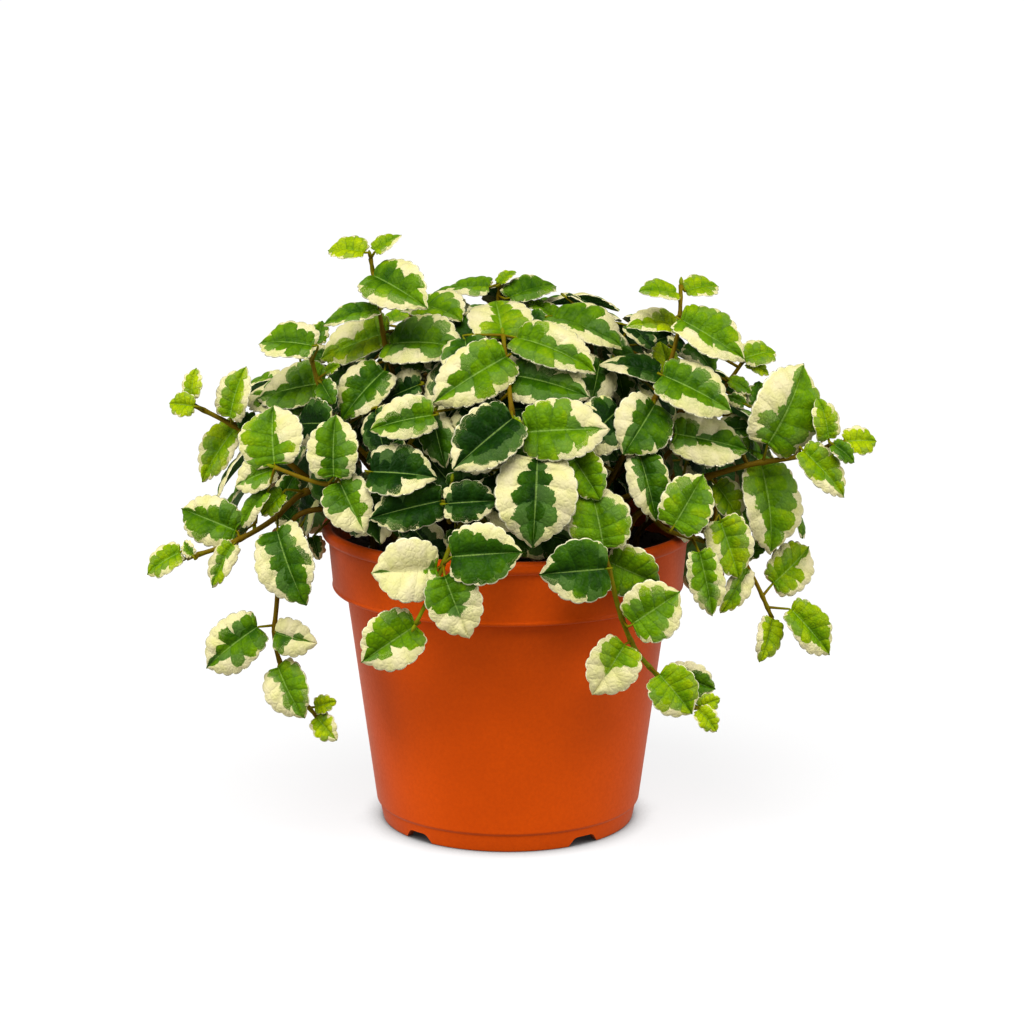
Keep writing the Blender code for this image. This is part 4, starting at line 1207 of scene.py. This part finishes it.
def fill_leaf(place, normal, length, first_turn, seed, canopy):
    """The first turn and size of a small leaf that has room, with its stem and its stalk's root, or None."""
    down = Vector((0, 0, -1)) + FILL_FALL * Vector((place.x, place.y, 0)).normalized()
    down = (down - down.project(normal)).normalized()
    nearest, farthest = FILL_STALKS
    for size in FILL_SIZES:
        for turn in FILL_TURNS:
            along = Matrix.Rotation(math.radians(first_turn + turn), 3, normal) @ down
            for rise in FILL_RISES:
                base = place - along * length * size / 2 + normal * rise
                root, index, away = canopy.tree.find(base)
                if not nearest < away < farthest:
                    continue
                tip = base + along * length * size
                leaf = Leaf(base, tip, normal, USUAL_WIDTH * length * size, seed, BACK_EDGE_COUNT)
                middle = (base + tip) / 2
                blade = tree_of(lambda bm: add_blade(bm, leaf, THICKNESS, TRIAL_SWELL))
                end = base.lerp(root, FILL_STALK_SHARE)
                stalk = line_tree([base, end], [STALK_HALF_WIDTH] * 2)
                stem = canopy.points[index][1]
                clear = is_clear(blade, stalk, stem.name, middle, length, canopy.placed)
                if clear and not hides_some(leaf, canopy.front):
                    canopy.placed.append(Placed("blade", stem.name, blade, middle, length / 2 + 1))
                    return leaf, stem, root
    return None


# The fine pot and soil
FINE_POT_STEPS = 144
CORNER_STEPS = 3
CORNER = 0.45
NOTCH_CORNER = 1.1
SHARP_FROM = 38
BEAD = [(56.65, 79), (56.95, 78.3)]
FINE_DRAIN_SIDES = 28
SOIL_RINGS = 26
SOIL_STEPS = 96
SOIL_ROUGHNESS = ((0.09, 1.3), (0.35, 0.7))
SOIL_FALL = SOIL_MIDDLE - SOIL_EDGE
CRUMBS = 260
CRUMB_SIZES = (0.5, 1.5)
CRUMB_PROUD = 0.4
CRUMB_LUMPS = (0.75, 1.15)
PERLITE_SHARE = 0.14


def rounded(profile):
    """The profile with each of its corners, but for its two ends, made a small curve."""
    made = [profile[0]]
    for before, at, after in zip(profile, profile[1:], profile[2:]):
        p0, p1, p2 = (Vector(p) for p in (before, at, after))
        start = p1 + (p0 - p1) * min(CORNER / (p0 - p1).length, 0.4)
        end = p1 + (p2 - p1) * min(CORNER / (p2 - p1).length, 0.4)
        for i in range(CORNER_STEPS + 1):
            s = i / CORNER_STEPS
            made.append(tuple(start * (1 - s) ** 2 + p1 * 2 * s * (1 - s) + end * s**2))
    made.append(profile[-1])
    return made


def turned(bm, profile, steps):
    """Adds the (radius, height) profile turned about the upright axis. Its ends are on the axis."""
    rings = []
    for i, (radius, height) in enumerate(profile):
        if i in (0, len(profile) - 1):
            rings.append([bm.verts.new((0, 0, height))] * steps)
            continue
        ring = []
        for k in range(steps):
            a = 2 * math.pi * k / steps
            ring.append(bm.verts.new((radius * math.cos(a), radius * math.sin(a), height)))
        rings.append(ring)
    for low, high in zip(rings, rings[1:]):
        for k in range(steps):
            corners = (low[k], low[(k + 1) % steps], high[(k + 1) % steps], high[k])
            bm.faces.new(list(dict.fromkeys(corners)))


def finished(bm, name, own):
    """The bmesh, in millimetres, as an object in metres."""
    bmesh.ops.recalc_face_normals(bm, faces=bm.faces)
    bmesh.ops.scale(bm, vec=(MM, MM, MM), verts=bm.verts)
    mesh = bpy.data.meshes.new(name)
    bm.to_mesh(mesh)
    bm.free()
    mesh.materials.append(own)
    return add_object(name, mesh)


def make_pot(plastic):
    """The pot's fine shell, with rounded notches in its foot ring and holes in its floor."""
    bm = bmesh.new()
    outside = [*LIP, *BEAD, *BAND_AND_LEDGE, *BODY_AND_FOOT]
    profile = [(0, FLOOR_TOP), *INNER_WALL, *outside, (0, FLOOR_UNDERSIDE)]
    turned(bm, rounded(profile), FINE_POT_STEPS)
    pot = finished(bm, "pot_shell", plastic)
    bm = bmesh.new()
    for bearing in NOTCH_BEARINGS:
        made = bmesh.ops.create_cube(bm, size=1)["verts"]
        bmesh.ops.scale(bm, vec=(NOTCH_WIDTH, NOTCH_LENGTH, 2 * NOTCH_HEIGHT), verts=made)
        splay(made)
        edges = dict.fromkeys(e for v in made for e in v.link_edges)
        radial = [e for e in edges if abs((e.verts[0].co - e.verts[1].co).y) > NOTCH_LENGTH / 2]
        bmesh.ops.translate(bm, vec=(0, -NOTCH_REACH, 0), verts=made)
        corner = {"offset": NOTCH_CORNER, "segments": 4, "affect": "EDGES", "profile": 0.5}
        rounds = bmesh.ops.bevel(bm, geom=radial, **corner)
        made = list(dict.fromkeys(v for f in rounds["faces"] for v in f.verts))
        bmesh.ops.rotate(bm, matrix=Matrix.Rotation(math.radians(bearing), 3, "Z"), verts=made)
    places = [(0, 0)]
    for i in range(DRAIN_COUNT):
        a = math.radians(360 * i / DRAIN_COUNT + DRAIN_TURN)
        places.append((DRAIN_RING * math.cos(a), DRAIN_RING * math.sin(a)))
    drain = {"radius1": DRAIN_RADIUS, "radius2": DRAIN_RADIUS, "depth": DRAIN_DEPTH}
    for place in places:
        hole = bmesh.ops.create_cone(bm, cap_ends=True, segments=FINE_DRAIN_SIDES, **drain)["verts"]
        bmesh.ops.translate(bm, vec=(*place, (FLOOR_TOP + FLOOR_UNDERSIDE) / 2), verts=hole)
    cutter = finished(bm, "cutter", plastic)
    cut = pot.modifiers.new("Cut", "BOOLEAN")
    cut.operation = "DIFFERENCE"
    cut.solver = "EXACT"
    cut.object = cutter
    bpy.context.view_layer.update()
    mesh = bpy.data.meshes.new_from_object(pot.evaluated_get(bpy.context.evaluated_depsgraph_get()))
    pot.modifiers.clear()
    pot.data = mesh
    bpy.data.objects.remove(cutter)
    mesh.shade_smooth()
    mesh.set_sharp_from_angle(angle=math.radians(SHARP_FROM))
    return pot


def splay(corners):
    """Makes the notch's cutter wider at the ground than at its top."""
    for v in corners:
        width = NOTCH_WIDTH - (NOTCH_WIDTH - NOTCH_TOP_WIDTH) * v.co.z / NOTCH_HEIGHT
        v.co.x = math.copysign(width / 2, v.co.x)


def wall_radius(height):
    """The radius of the pot's inner wall at this height."""
    radii, heights = zip(*INNER_WALL)
    return float(np.interp(height, heights, radii))


def soil_height(x, y):
    """How far the soil's rough top stands over its mean at this place."""
    return sum(size * noise.noise(Vector((x, y, 7)) * scale) for scale, size in SOIL_ROUGHNESS)


def make_soil(peat, perlite):
    """The plug of soil, rough on top, with crumbs and a few white grains on it."""
    bm = bmesh.new()
    edge = wall_radius(SOIL_EDGE) - SEAT_GAP
    shares = [i / SOIL_RINGS for i in range(SOIL_RINGS + 1)]
    top = [(edge * share, SOIL_MIDDLE - SOIL_FALL * share**3) for share in shares]
    side = [(r - SEAT_GAP, z + SEAT_GAP) for r, z in reversed(INNER_WALL[1:4])]
    side.append((INNER_WALL[0][0] - SEAT_GAP, FLOOR_TOP + SEAT_GAP))
    turned(bm, [*top, *side, (0, FLOOR_TOP + SEAT_GAP)], SOIL_STEPS)
    for v in bm.verts:
        if v.co.z > SOIL_EDGE - 0.01:
            v.co.z += soil_height(v.co.x, v.co.y)
    for f in bm.faces:
        f.smooth = True
    draw = random.Random(CRUMB_SEED)
    for _ in range(CRUMBS):
        reach = (edge - 2) * math.sqrt(draw.random())
        a = draw.uniform(0, 2 * math.pi)
        x, y = reach * math.cos(a), reach * math.sin(a)
        size = draw.uniform(*CRUMB_SIZES)
        made = bmesh.ops.create_icosphere(bm, subdivisions=1, radius=size)["verts"]
        z = SOIL_MIDDLE - SOIL_FALL * (reach / edge) ** 3 + soil_height(x, y) + size * CRUMB_PROUD
        white = draw.random() < PERLITE_SHARE
        for v in made:
            v.co = v.co * draw.uniform(*CRUMB_LUMPS) + Vector((x, y, z))
        for f in dict.fromkeys(f for v in made for f in v.link_faces):
            f.material_index = int(white)
            f.smooth = not white
    soil = finished(bm, "soil_top", peat)
    soil.data.materials.append(perlite)
    return soil


class Nodes:
    """Short calls for building one material's nodes."""

    def __init__(self, name, roughness=0.5):
        self.material = bpy.data.materials.new(name)
        self.material.use_nodes = True
        self.tree = self.material.node_tree
        self.shader = self.tree.nodes["Principled BSDF"]
        self.shader.inputs["Roughness"].default_value = roughness
        self.place = self.tree.nodes.new("ShaderNodeTexCoord").outputs["Object"]

    def node(self, kind, values, output, **settings):
        """Adds a node with these settings and inputs, by name or number, and returns one of its outputs."""
        made = self.tree.nodes.new(kind)
        for name, value in settings.items():
            setattr(made, name, value)
        for name, value in values.items():
            self.put(value, made.inputs[name])
        return made.outputs[output]

    def put(self, value, socket):
        """Links the socket if the value is another node's output, and sets it otherwise."""
        if isinstance(value, bpy.types.NodeSocket):
            self.tree.links.new(value, socket)
        else:
            socket.default_value = (*value, 1) if socket.type == "RGBA" else value

    def math(self, operation, *values):
        return self.node("ShaderNodeMath", dict(enumerate(values)), 0, operation=operation)

    def spread(self, value, low, high, start=0.0, end=1.0):
        """The value, moved from the range low to high into the range start to end, and kept in it."""
        values = {"Value": value, "From Min": low, "From Max": high, "To Min": start, "To Max": end}
        return self.node("ShaderNodeMapRange", values, 0)

    def mix(self, share, first, second):
        """A colour between two. A mix node's colours are its sockets 6 and 7, and its output 2."""
        return self.node("ShaderNodeMix", {0: share, 6: first, 7: second}, 2, data_type="RGBA")

    def ramp(self, value, stops):
        """The colour that the stops give at this value."""
        made = self.tree.nodes.new("ShaderNodeValToRGB")
        for i, (position, colour) in enumerate(stops):
            stop = made.color_ramp.elements[i] if i < 2 else made.color_ramp.elements.new(position)
            stop.position = position
            stop.color = (*colour, 1)
        self.put(value, made.inputs[0])
        return made.outputs[0]

    def noise(self, scale, detail=2.0, roughness=0.5):
        values = {"Vector": self.place, "Scale": scale, "Detail": detail, "Roughness": roughness}
        return self.node("ShaderNodeTexNoise", values, 0)

    def attribute(self, name):
        """The three parts of a stored vector."""
        vector = self.node("ShaderNodeAttribute", {}, 1, attribute_name=name)
        split = self.tree.nodes.new("ShaderNodeSeparateXYZ")
        self.put(vector, split.inputs[0])
        return split.outputs

    def vector(self, x, y, z):
        return self.node("ShaderNodeCombineXYZ", {0: x, 1: y, 2: z}, 0)

    def bump(self, height, strength, distance):
        """Sets the surface's small relief. The distance is in metres."""
        values = {"Height": height, "Strength": strength, "Distance": distance}
        self.put(self.node("ShaderNodeBump", values, 0), self.shader.inputs["Normal"])

    def finish(self, colour=None, roughness=None):
        if colour is not None:
            self.put(colour, self.shader.inputs["Base Color"])
        if roughness is not None:
            self.put(roughness, self.shader.inputs["Roughness"])
        return self.material


# Leaf colours, from the darkest green to the youngest
GREENS = [
    (0.0, (0.006, 0.028, 0.001)),
    (0.3, (0.032, 0.095, 0.0)),
    (0.6, (0.12, 0.235, 0.0)),
    (1.0, (0.35, 0.43, 0.0)),
]
GREY_GREEN = (0.12, 0.21, 0.05)
CREAMS = ((0.6, 0.545, 0.33), (0.53, 0.51, 0.21))
# The pale line along the leaf's edge: partly its own pale margin, partly a painted highlight that brightens
# the edge where it turns from the light
PALE_RIM_AND_HIGHLIGHT = (0.84, 0.8, 0.56)
RIB = (0.27, 0.4, 0.09)
UNDERSIDE = (0.13, 0.33, 0.1)
# Painted shade in the sunken veins and in the fine net of creases between them
VEIN_CREASE_SHADE = (0.012, 0.06, 0.008)

# Plastic: two shades in broad clouds, and the darker grain
ORANGES = ((0.59, 0.083, 0.0), (0.67, 0.098, 0.0))
ORANGE_GRAIN = (0.47, 0.052, 0.0)

# Bark by its age, and the colours of the soil's crumbs and its white grains by their noise
BARK = [
    (0.0, (0.17, 0.21, 0.0)),
    (0.3, (0.163, 0.115, 0.0)),
    (0.6, (0.133, 0.074, 0.0)),
    (1.0, (0.063, 0.034, 0.0)),
]
PEAT = [(0.3, (0.006, 0.004, 0.003)), (0.7, (0.05, 0.028, 0.016))]
PERLITE = [(0.3, (0.35, 0.32, 0.26)), (0.65, (0.7, 0.67, 0.6))]

# How a leaf's colours lie. A place on the blade is 0 at the rib and 1 at the edge, and a span says between
# which values a colour comes in
FINE_NOISE = (800, 2)
BROAD_NOISE = (190, 2)
SEED_SPREAD = 91.7
VEIN_WANDER = 0.25
MARGIN_STEP = 0.46
MARGIN_LOBE = 0.13
MARGIN_FINE = 0.2
MARGIN_BROAD = 0.35
MARGIN_SPAN = (-0.012, 0.012)
RIM_HIGHLIGHT_SPAN = (0.955, 0.975)
RIM_HIGHLIGHT_SHARE = 0.9
PATCH_SPAN = (-0.42, -0.4)
PATCH_CHANCE = (0.55, 0.57)
PATCH_SHARE = 0.45
TONE_HUE = 0.1
TONE_BROAD = 0.6
TONE_FINE = 0.2
TONE_REACH = 0.22
TONE_MIDDLE = 0.4
RIB_SPAN = (0.034, 0.012)
RIB_SHARE = 0.58
VEIN_SHADE_SPAN = (0.09, 0.02)
VEIN_SHADE_SHARE = 0.24
NET_SCALE = 620.0
NET_SHADE_SPAN = (0.0, 0.14)
NET_SHADE_SHARE = 0.18
CREAM_SPAN = (-0.2, 0.25)
PALE_GREEN = 0.75
PALE_LESS = -0.6
NET_DIP = 0.28
VEIN_DIP = 0.1
FINE_RELIEF = 0.4
VEIN_RELIEF = 0.9
LEAF_RELIEF = (0.42, 0.0003)


def leaf_material():
    """Green in the middle and cream outside, with a crisp edge that steps from vein to vein."""
    n = Nodes("fig_leaf")
    vein, signed, under = n.attribute("leaf_place")
    green, seed, tone = n.attribute("leaf_kind")
    reach = n.math("ABSOLUTE", signed)
    side = n.math("SIGN", signed)
    fine = n.math("SUBTRACT", n.noise(*FINE_NOISE), 0.5)
    broad = n.math("SUBTRACT", n.noise(*BROAD_NOISE), 0.5)
    vein = n.math("MULTIPLY_ADD", fine, VEIN_WANDER, vein)
    sector = n.math("FLOOR", vein)
    within = n.math("FRACT", vein)
    key = n.vector(sector, side, n.math("MULTIPLY", seed, SEED_SPREAD))
    colour = n.node("ShaderNodeTexWhiteNoise", {"Vector": key}, 1, noise_dimensions="3D")
    split = n.node("ShaderNodeSeparateColor", {0: colour}, 0)
    chance, patch, hue = split.node.outputs
    lobe = n.math("SINE", n.math("MULTIPLY", within, math.pi))
    edge = n.math("MULTIPLY_ADD", n.math("SUBTRACT", chance, 0.5), MARGIN_STEP, green)
    edge = n.math("MULTIPLY_ADD", lobe, MARGIN_LOBE, edge)
    edge = n.math("MULTIPLY_ADD", fine, MARGIN_FINE, edge)
    edge = n.math("MULTIPLY_ADD", broad, MARGIN_BROAD, edge)
    past = n.math("SUBTRACT", reach, edge)
    is_cream = n.spread(past, *MARGIN_SPAN)
    is_pale_rim_and_highlight = n.spread(reach, *RIM_HIGHLIGHT_SPAN)
    near_edge = n.spread(past, *PATCH_SPAN)
    is_patch = n.math("MULTIPLY", near_edge, n.spread(patch, *PATCH_CHANCE))
    # The leaf's tone: its own green, partly painted light and shade
    level = n.math("MULTIPLY_ADD", n.math("SUBTRACT", hue, 0.5), TONE_HUE, tone)
    level = n.math("MULTIPLY_ADD", broad, TONE_BROAD, level)
    level = n.math("MULTIPLY_ADD", fine, TONE_FINE, level)
    level = n.math("MULTIPLY_ADD", n.math("SUBTRACT", reach, TONE_MIDDLE), TONE_REACH, level)
    colour = n.ramp(level, GREENS)
    colour = n.mix(n.math("MULTIPLY", is_patch, PATCH_SHARE), colour, GREY_GREEN)
    is_rib = n.spread(reach, *RIB_SPAN)
    colour = n.mix(n.math("MULTIPLY", is_rib, RIB_SHARE), colour, RIB)
    from_vein = n.math("ABSOLUTE", n.math("SUBTRACT", n.math("FRACT", n.math("ADD", vein, 0.5)), 0.5))
    # Painted shade in the sunken side veins, then in the fine net of creases
    is_vein_shade = n.math("MULTIPLY", n.spread(from_vein, *VEIN_SHADE_SPAN), VEIN_SHADE_SHARE)
    colour = n.mix(is_vein_shade, colour, VEIN_CREASE_SHADE)
    cells = {"Vector": n.place, "Scale": NET_SCALE}
    net = n.node("ShaderNodeTexVoronoi", cells, 0, feature="DISTANCE_TO_EDGE")
    colour = n.mix(n.spread(net, *NET_SHADE_SPAN, NET_SHADE_SHARE, 0.0), colour, VEIN_CREASE_SHADE)
    cream = n.mix(n.spread(broad, *CREAM_SPAN), *CREAMS)
    colour = n.mix(is_cream, colour, cream)
    # Pale rim, with a painted highlight along the leaf's edge
    colour = n.mix(n.math("MULTIPLY", is_pale_rim_and_highlight, RIM_HIGHLIGHT_SHARE), colour, PALE_RIM_AND_HIGHLIGHT)
    pale = n.math("MULTIPLY", under, n.math("MULTIPLY_ADD", is_cream, PALE_LESS, PALE_GREEN))
    colour = n.mix(pale, colour, UNDERSIDE)
    relief = n.math("ADD", n.spread(net, 0, NET_DIP), n.math("MULTIPLY", fine, FINE_RELIEF))
    relief = n.math("MULTIPLY_ADD", n.spread(from_vein, 0.0, VEIN_DIP), VEIN_RELIEF, relief)
    n.bump(relief, *LEAF_RELIEF)
    n.shader.inputs["Specular IOR Level"].default_value = 0.07
    roughness = n.math("MULTIPLY_ADD", fine, 0.15, 0.4)
    return n.finish(colour, roughness)


def stem_material():
    """Green at the tips and brown below, with fine bark."""
    n = Nodes("fig_stem")
    age, _, _ = n.attribute("leaf_kind")
    coarse = n.noise(500, 3)
    level = n.math("ADD", age, n.math("MULTIPLY", n.math("SUBTRACT", coarse, 0.5), 0.5))
    n.shader.inputs["Specular IOR Level"].default_value = 0.1
    n.bump(n.noise(1500, 3), 0.5, 0.0002)
    return n.finish(n.ramp(level, BARK), n.spread(coarse, 0.2, 0.8, 0.45, 0.7))


def plastic_material():
    """Moulded orange-brown plastic with a satin grain and faint flow marks."""
    n = Nodes("orange_plastic")
    broad = n.noise(22, 3)
    fine = n.noise(900, 4, 0.7)
    colour = n.mix(n.spread(broad, 0.3, 0.7), *ORANGES)
    colour = n.mix(n.spread(fine, 0.3, 0.7, 0.0, 0.4), colour, ORANGE_GRAIN)
    n.bump(fine, 0.25, 0.00015)
    n.shader.inputs["Specular IOR Level"].default_value = 0.08
    n.shader.inputs["Sheen Weight"].default_value = 0.18
    n.shader.inputs["Sheen Roughness"].default_value = 0.35
    return n.finish(colour, n.spread(fine, 0.2, 0.8, 0.34, 0.52))


def grain_material(name, grain, relief, colours, roughness):
    """A rough material whose colour, relief and roughness follow one noise."""
    n = Nodes(name)
    coarse = n.noise(*grain)
    n.bump(coarse, *relief)
    return n.finish(n.ramp(coarse, colours), n.spread(coarse, 0.3, 0.7, *roughness))


def floor_material():
    """A pale floor that glows, so that it stays white behind the plant, with a painted contact shadow: less
    glow right under a thing.
    """
    n = Nodes("pale_floor")
    broad = n.noise(3, 3)
    direct = n.node("ShaderNodeLightPath", {}, 0)
    n.shader.inputs["Emission Color"].default_value = (1, 1, 1, 1)
    glow = n.spread(direct, 0, 1, BOUNCE_GLOW, FLOOR_GLOW)
    # Painted contact shadow: the glow is dimmed where ambient occlusion finds a thing close over the floor
    open_sky = n.node("ShaderNodeAmbientOcclusion", {"Distance": 0.03}, 1)
    shade = n.spread(open_sky, 0.3, 0.61, 0.02, 1.0)
    n.put(n.math("MULTIPLY", glow, shade), n.shader.inputs["Emission Strength"])
    n.shader.inputs["Specular IOR Level"].default_value = 0.0
    grey = n.mix(broad, (FLOOR_GREYS[0],) * 3, (FLOOR_GREYS[1],) * 3)
    return n.finish(grey, n.spread(broad, 0.3, 0.7, 0.8, 0.9))


# Stage: sizes and places in metres, angles in degrees and the lens in millimetres
FLOOR_SIZE = 60
PITCH = 12.22
LENS = 105.2
SENSOR = 36
FLOOR_GREYS = (0.135, 0.14)
FLOOR_GLOW = 0.84
BOUNCE_GLOW = 0.35
WORLD_STRENGTH = 0.3
BACKGROUND = 1.0
DISPLAY_GAMMA = 0.88
KEY_FROM = (-0.12, -0.62, 1)
KEY_STRENGTH = 3.9
KEY_SOFTNESS = 50
LAMP_AIM = Vector((0, 0, 0.1))
LAMPS = [
    ("left_light", (-1.1, -0.35, 0.42), 0.7, 7.5),
    ("right_light", (1.1, -0.3, 0.46), 0.7, 8),
]


def make_stage():
    """A pale floor, a white surround, soft lamps and the camera at the photographed angle."""
    bm = bmesh.new()
    bmesh.ops.create_grid(bm, x_segments=4, y_segments=4, size=FLOOR_SIZE / 2 / MM)
    finished(bm, "floor", floor_material())
    world = bpy.data.worlds.new("studio")
    world.use_nodes = True
    tree = world.node_tree
    background = tree.nodes["Background"]
    background.inputs["Color"].default_value = (1, 1, 1, 1)
    strength = tree.nodes.new("ShaderNodeMapRange")
    strength.inputs["To Min"].default_value = WORLD_STRENGTH
    strength.inputs["To Max"].default_value = BACKGROUND
    tree.links.new(tree.nodes.new("ShaderNodeLightPath").outputs["Is Camera Ray"], strength.inputs["Value"])
    tree.links.new(strength.outputs[0], background.inputs["Strength"])
    bpy.context.scene.world = world
    key = bpy.data.lights.new("key_light", "SUN")
    key.energy = KEY_STRENGTH
    key.angle = math.radians(KEY_SOFTNESS)
    add_object("key_light", key).rotation_euler = Vector(KEY_FROM).to_track_quat("Z", "Y").to_euler()
    for name, place, size, power in LAMPS:
        lamp = bpy.data.lights.new(name, "AREA")
        lamp.size = size
        lamp.energy = power
        made = add_object(name, lamp)
        made.location = place
        made.rotation_euler = (LAMP_AIM - made.location).to_track_quat("-Z", "Y").to_euler()
    camera = bpy.data.cameras.new("camera")
    camera.sensor_width = SENSOR
    camera.lens = LENS
    made = add_object("camera", camera)
    made.location = EYE * MM
    made.rotation_euler = (math.radians(90 - PITCH), 0, 0)
    bpy.context.scene.camera = made
    bpy.context.scene.view_settings.view_transform = "Standard"
    bpy.context.scene.view_settings.gamma = DISPLAY_GAMMA


def tree_of_node(node):
    """The search tree, in millimetres, of a CAD node."""

    def build(bm):
        bm.from_mesh(node.data)
        bmesh.ops.scale(bm, vec=(1 / MM,) * 3, verts=bm.verts)

    return tree_of(build)


def stand_for(piece, slot, *nodes):
    """The piece rides on the plant and replaces these nodes. The slot is not used."""
    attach(piece, "root")
    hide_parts(*nodes)


def main():
    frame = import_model()
    make_stage()
    placed = [Placed("solid", None, tree_of_node(frame["nodes"]["pot"]), None, 0)]
    stems = grow_stems(placed)
    placed.append(Placed("solid", None, tree_of_node(frame["nodes"]["soil"]), None, 0))
    grow_leaves(stems, placed)
    fill = grow_fill(stems, placed)
    stand_for(make_pot(plastic_material()), "pot", "pot")
    peat = grain_material("peat", (420, 5, 0.65), (1.0, 0.0012), PEAT, (0.85, 1.0))
    perlite = grain_material("perlite", (1300, 3), (0.8, 0.0004), PERLITE, (0.75, 0.95))
    stand_for(make_soil(peat, perlite), "soil", "soil")
    materials = [leaf_material(), stem_material()]
    for stem in stems:
        form = Form()
        add_stem(form, stem)
        for leaf in stem.leaves:
            add_leaf(form, leaf, look_of(leaf, stem.name))
        for leaf, own, root in fill:
            if own is stem:
                # Small leaves inside take darker tones, as painted shade
                tones = GAP_SHADED_TONES if leaf.seed.startswith("gap") else FILL_SHADED_TONES
                add_leaf(form, leaf, drawn_look(leaf.seed, tones), PLAIN_COLUMNS, 3)
                add_petiole(form, leaf, root)
        stand_for(form.build("leafy_" + stem.name, materials), "foliage", "stem_" + stem.name)
    print("leaves:", sum(len(stem.leaves) for stem in stems), "and small ones:", len(fill))


def look_of(leaf, name):
    """What the table says of a leaf in front, or a draw for one behind."""
    if name in FRONT_STEMS:
        return front_look(leaf, FRONT_STEMS[name][2 + int(leaf.seed.split()[-1])])
    return drawn_look(leaf.seed, USUAL_TONES)


main()
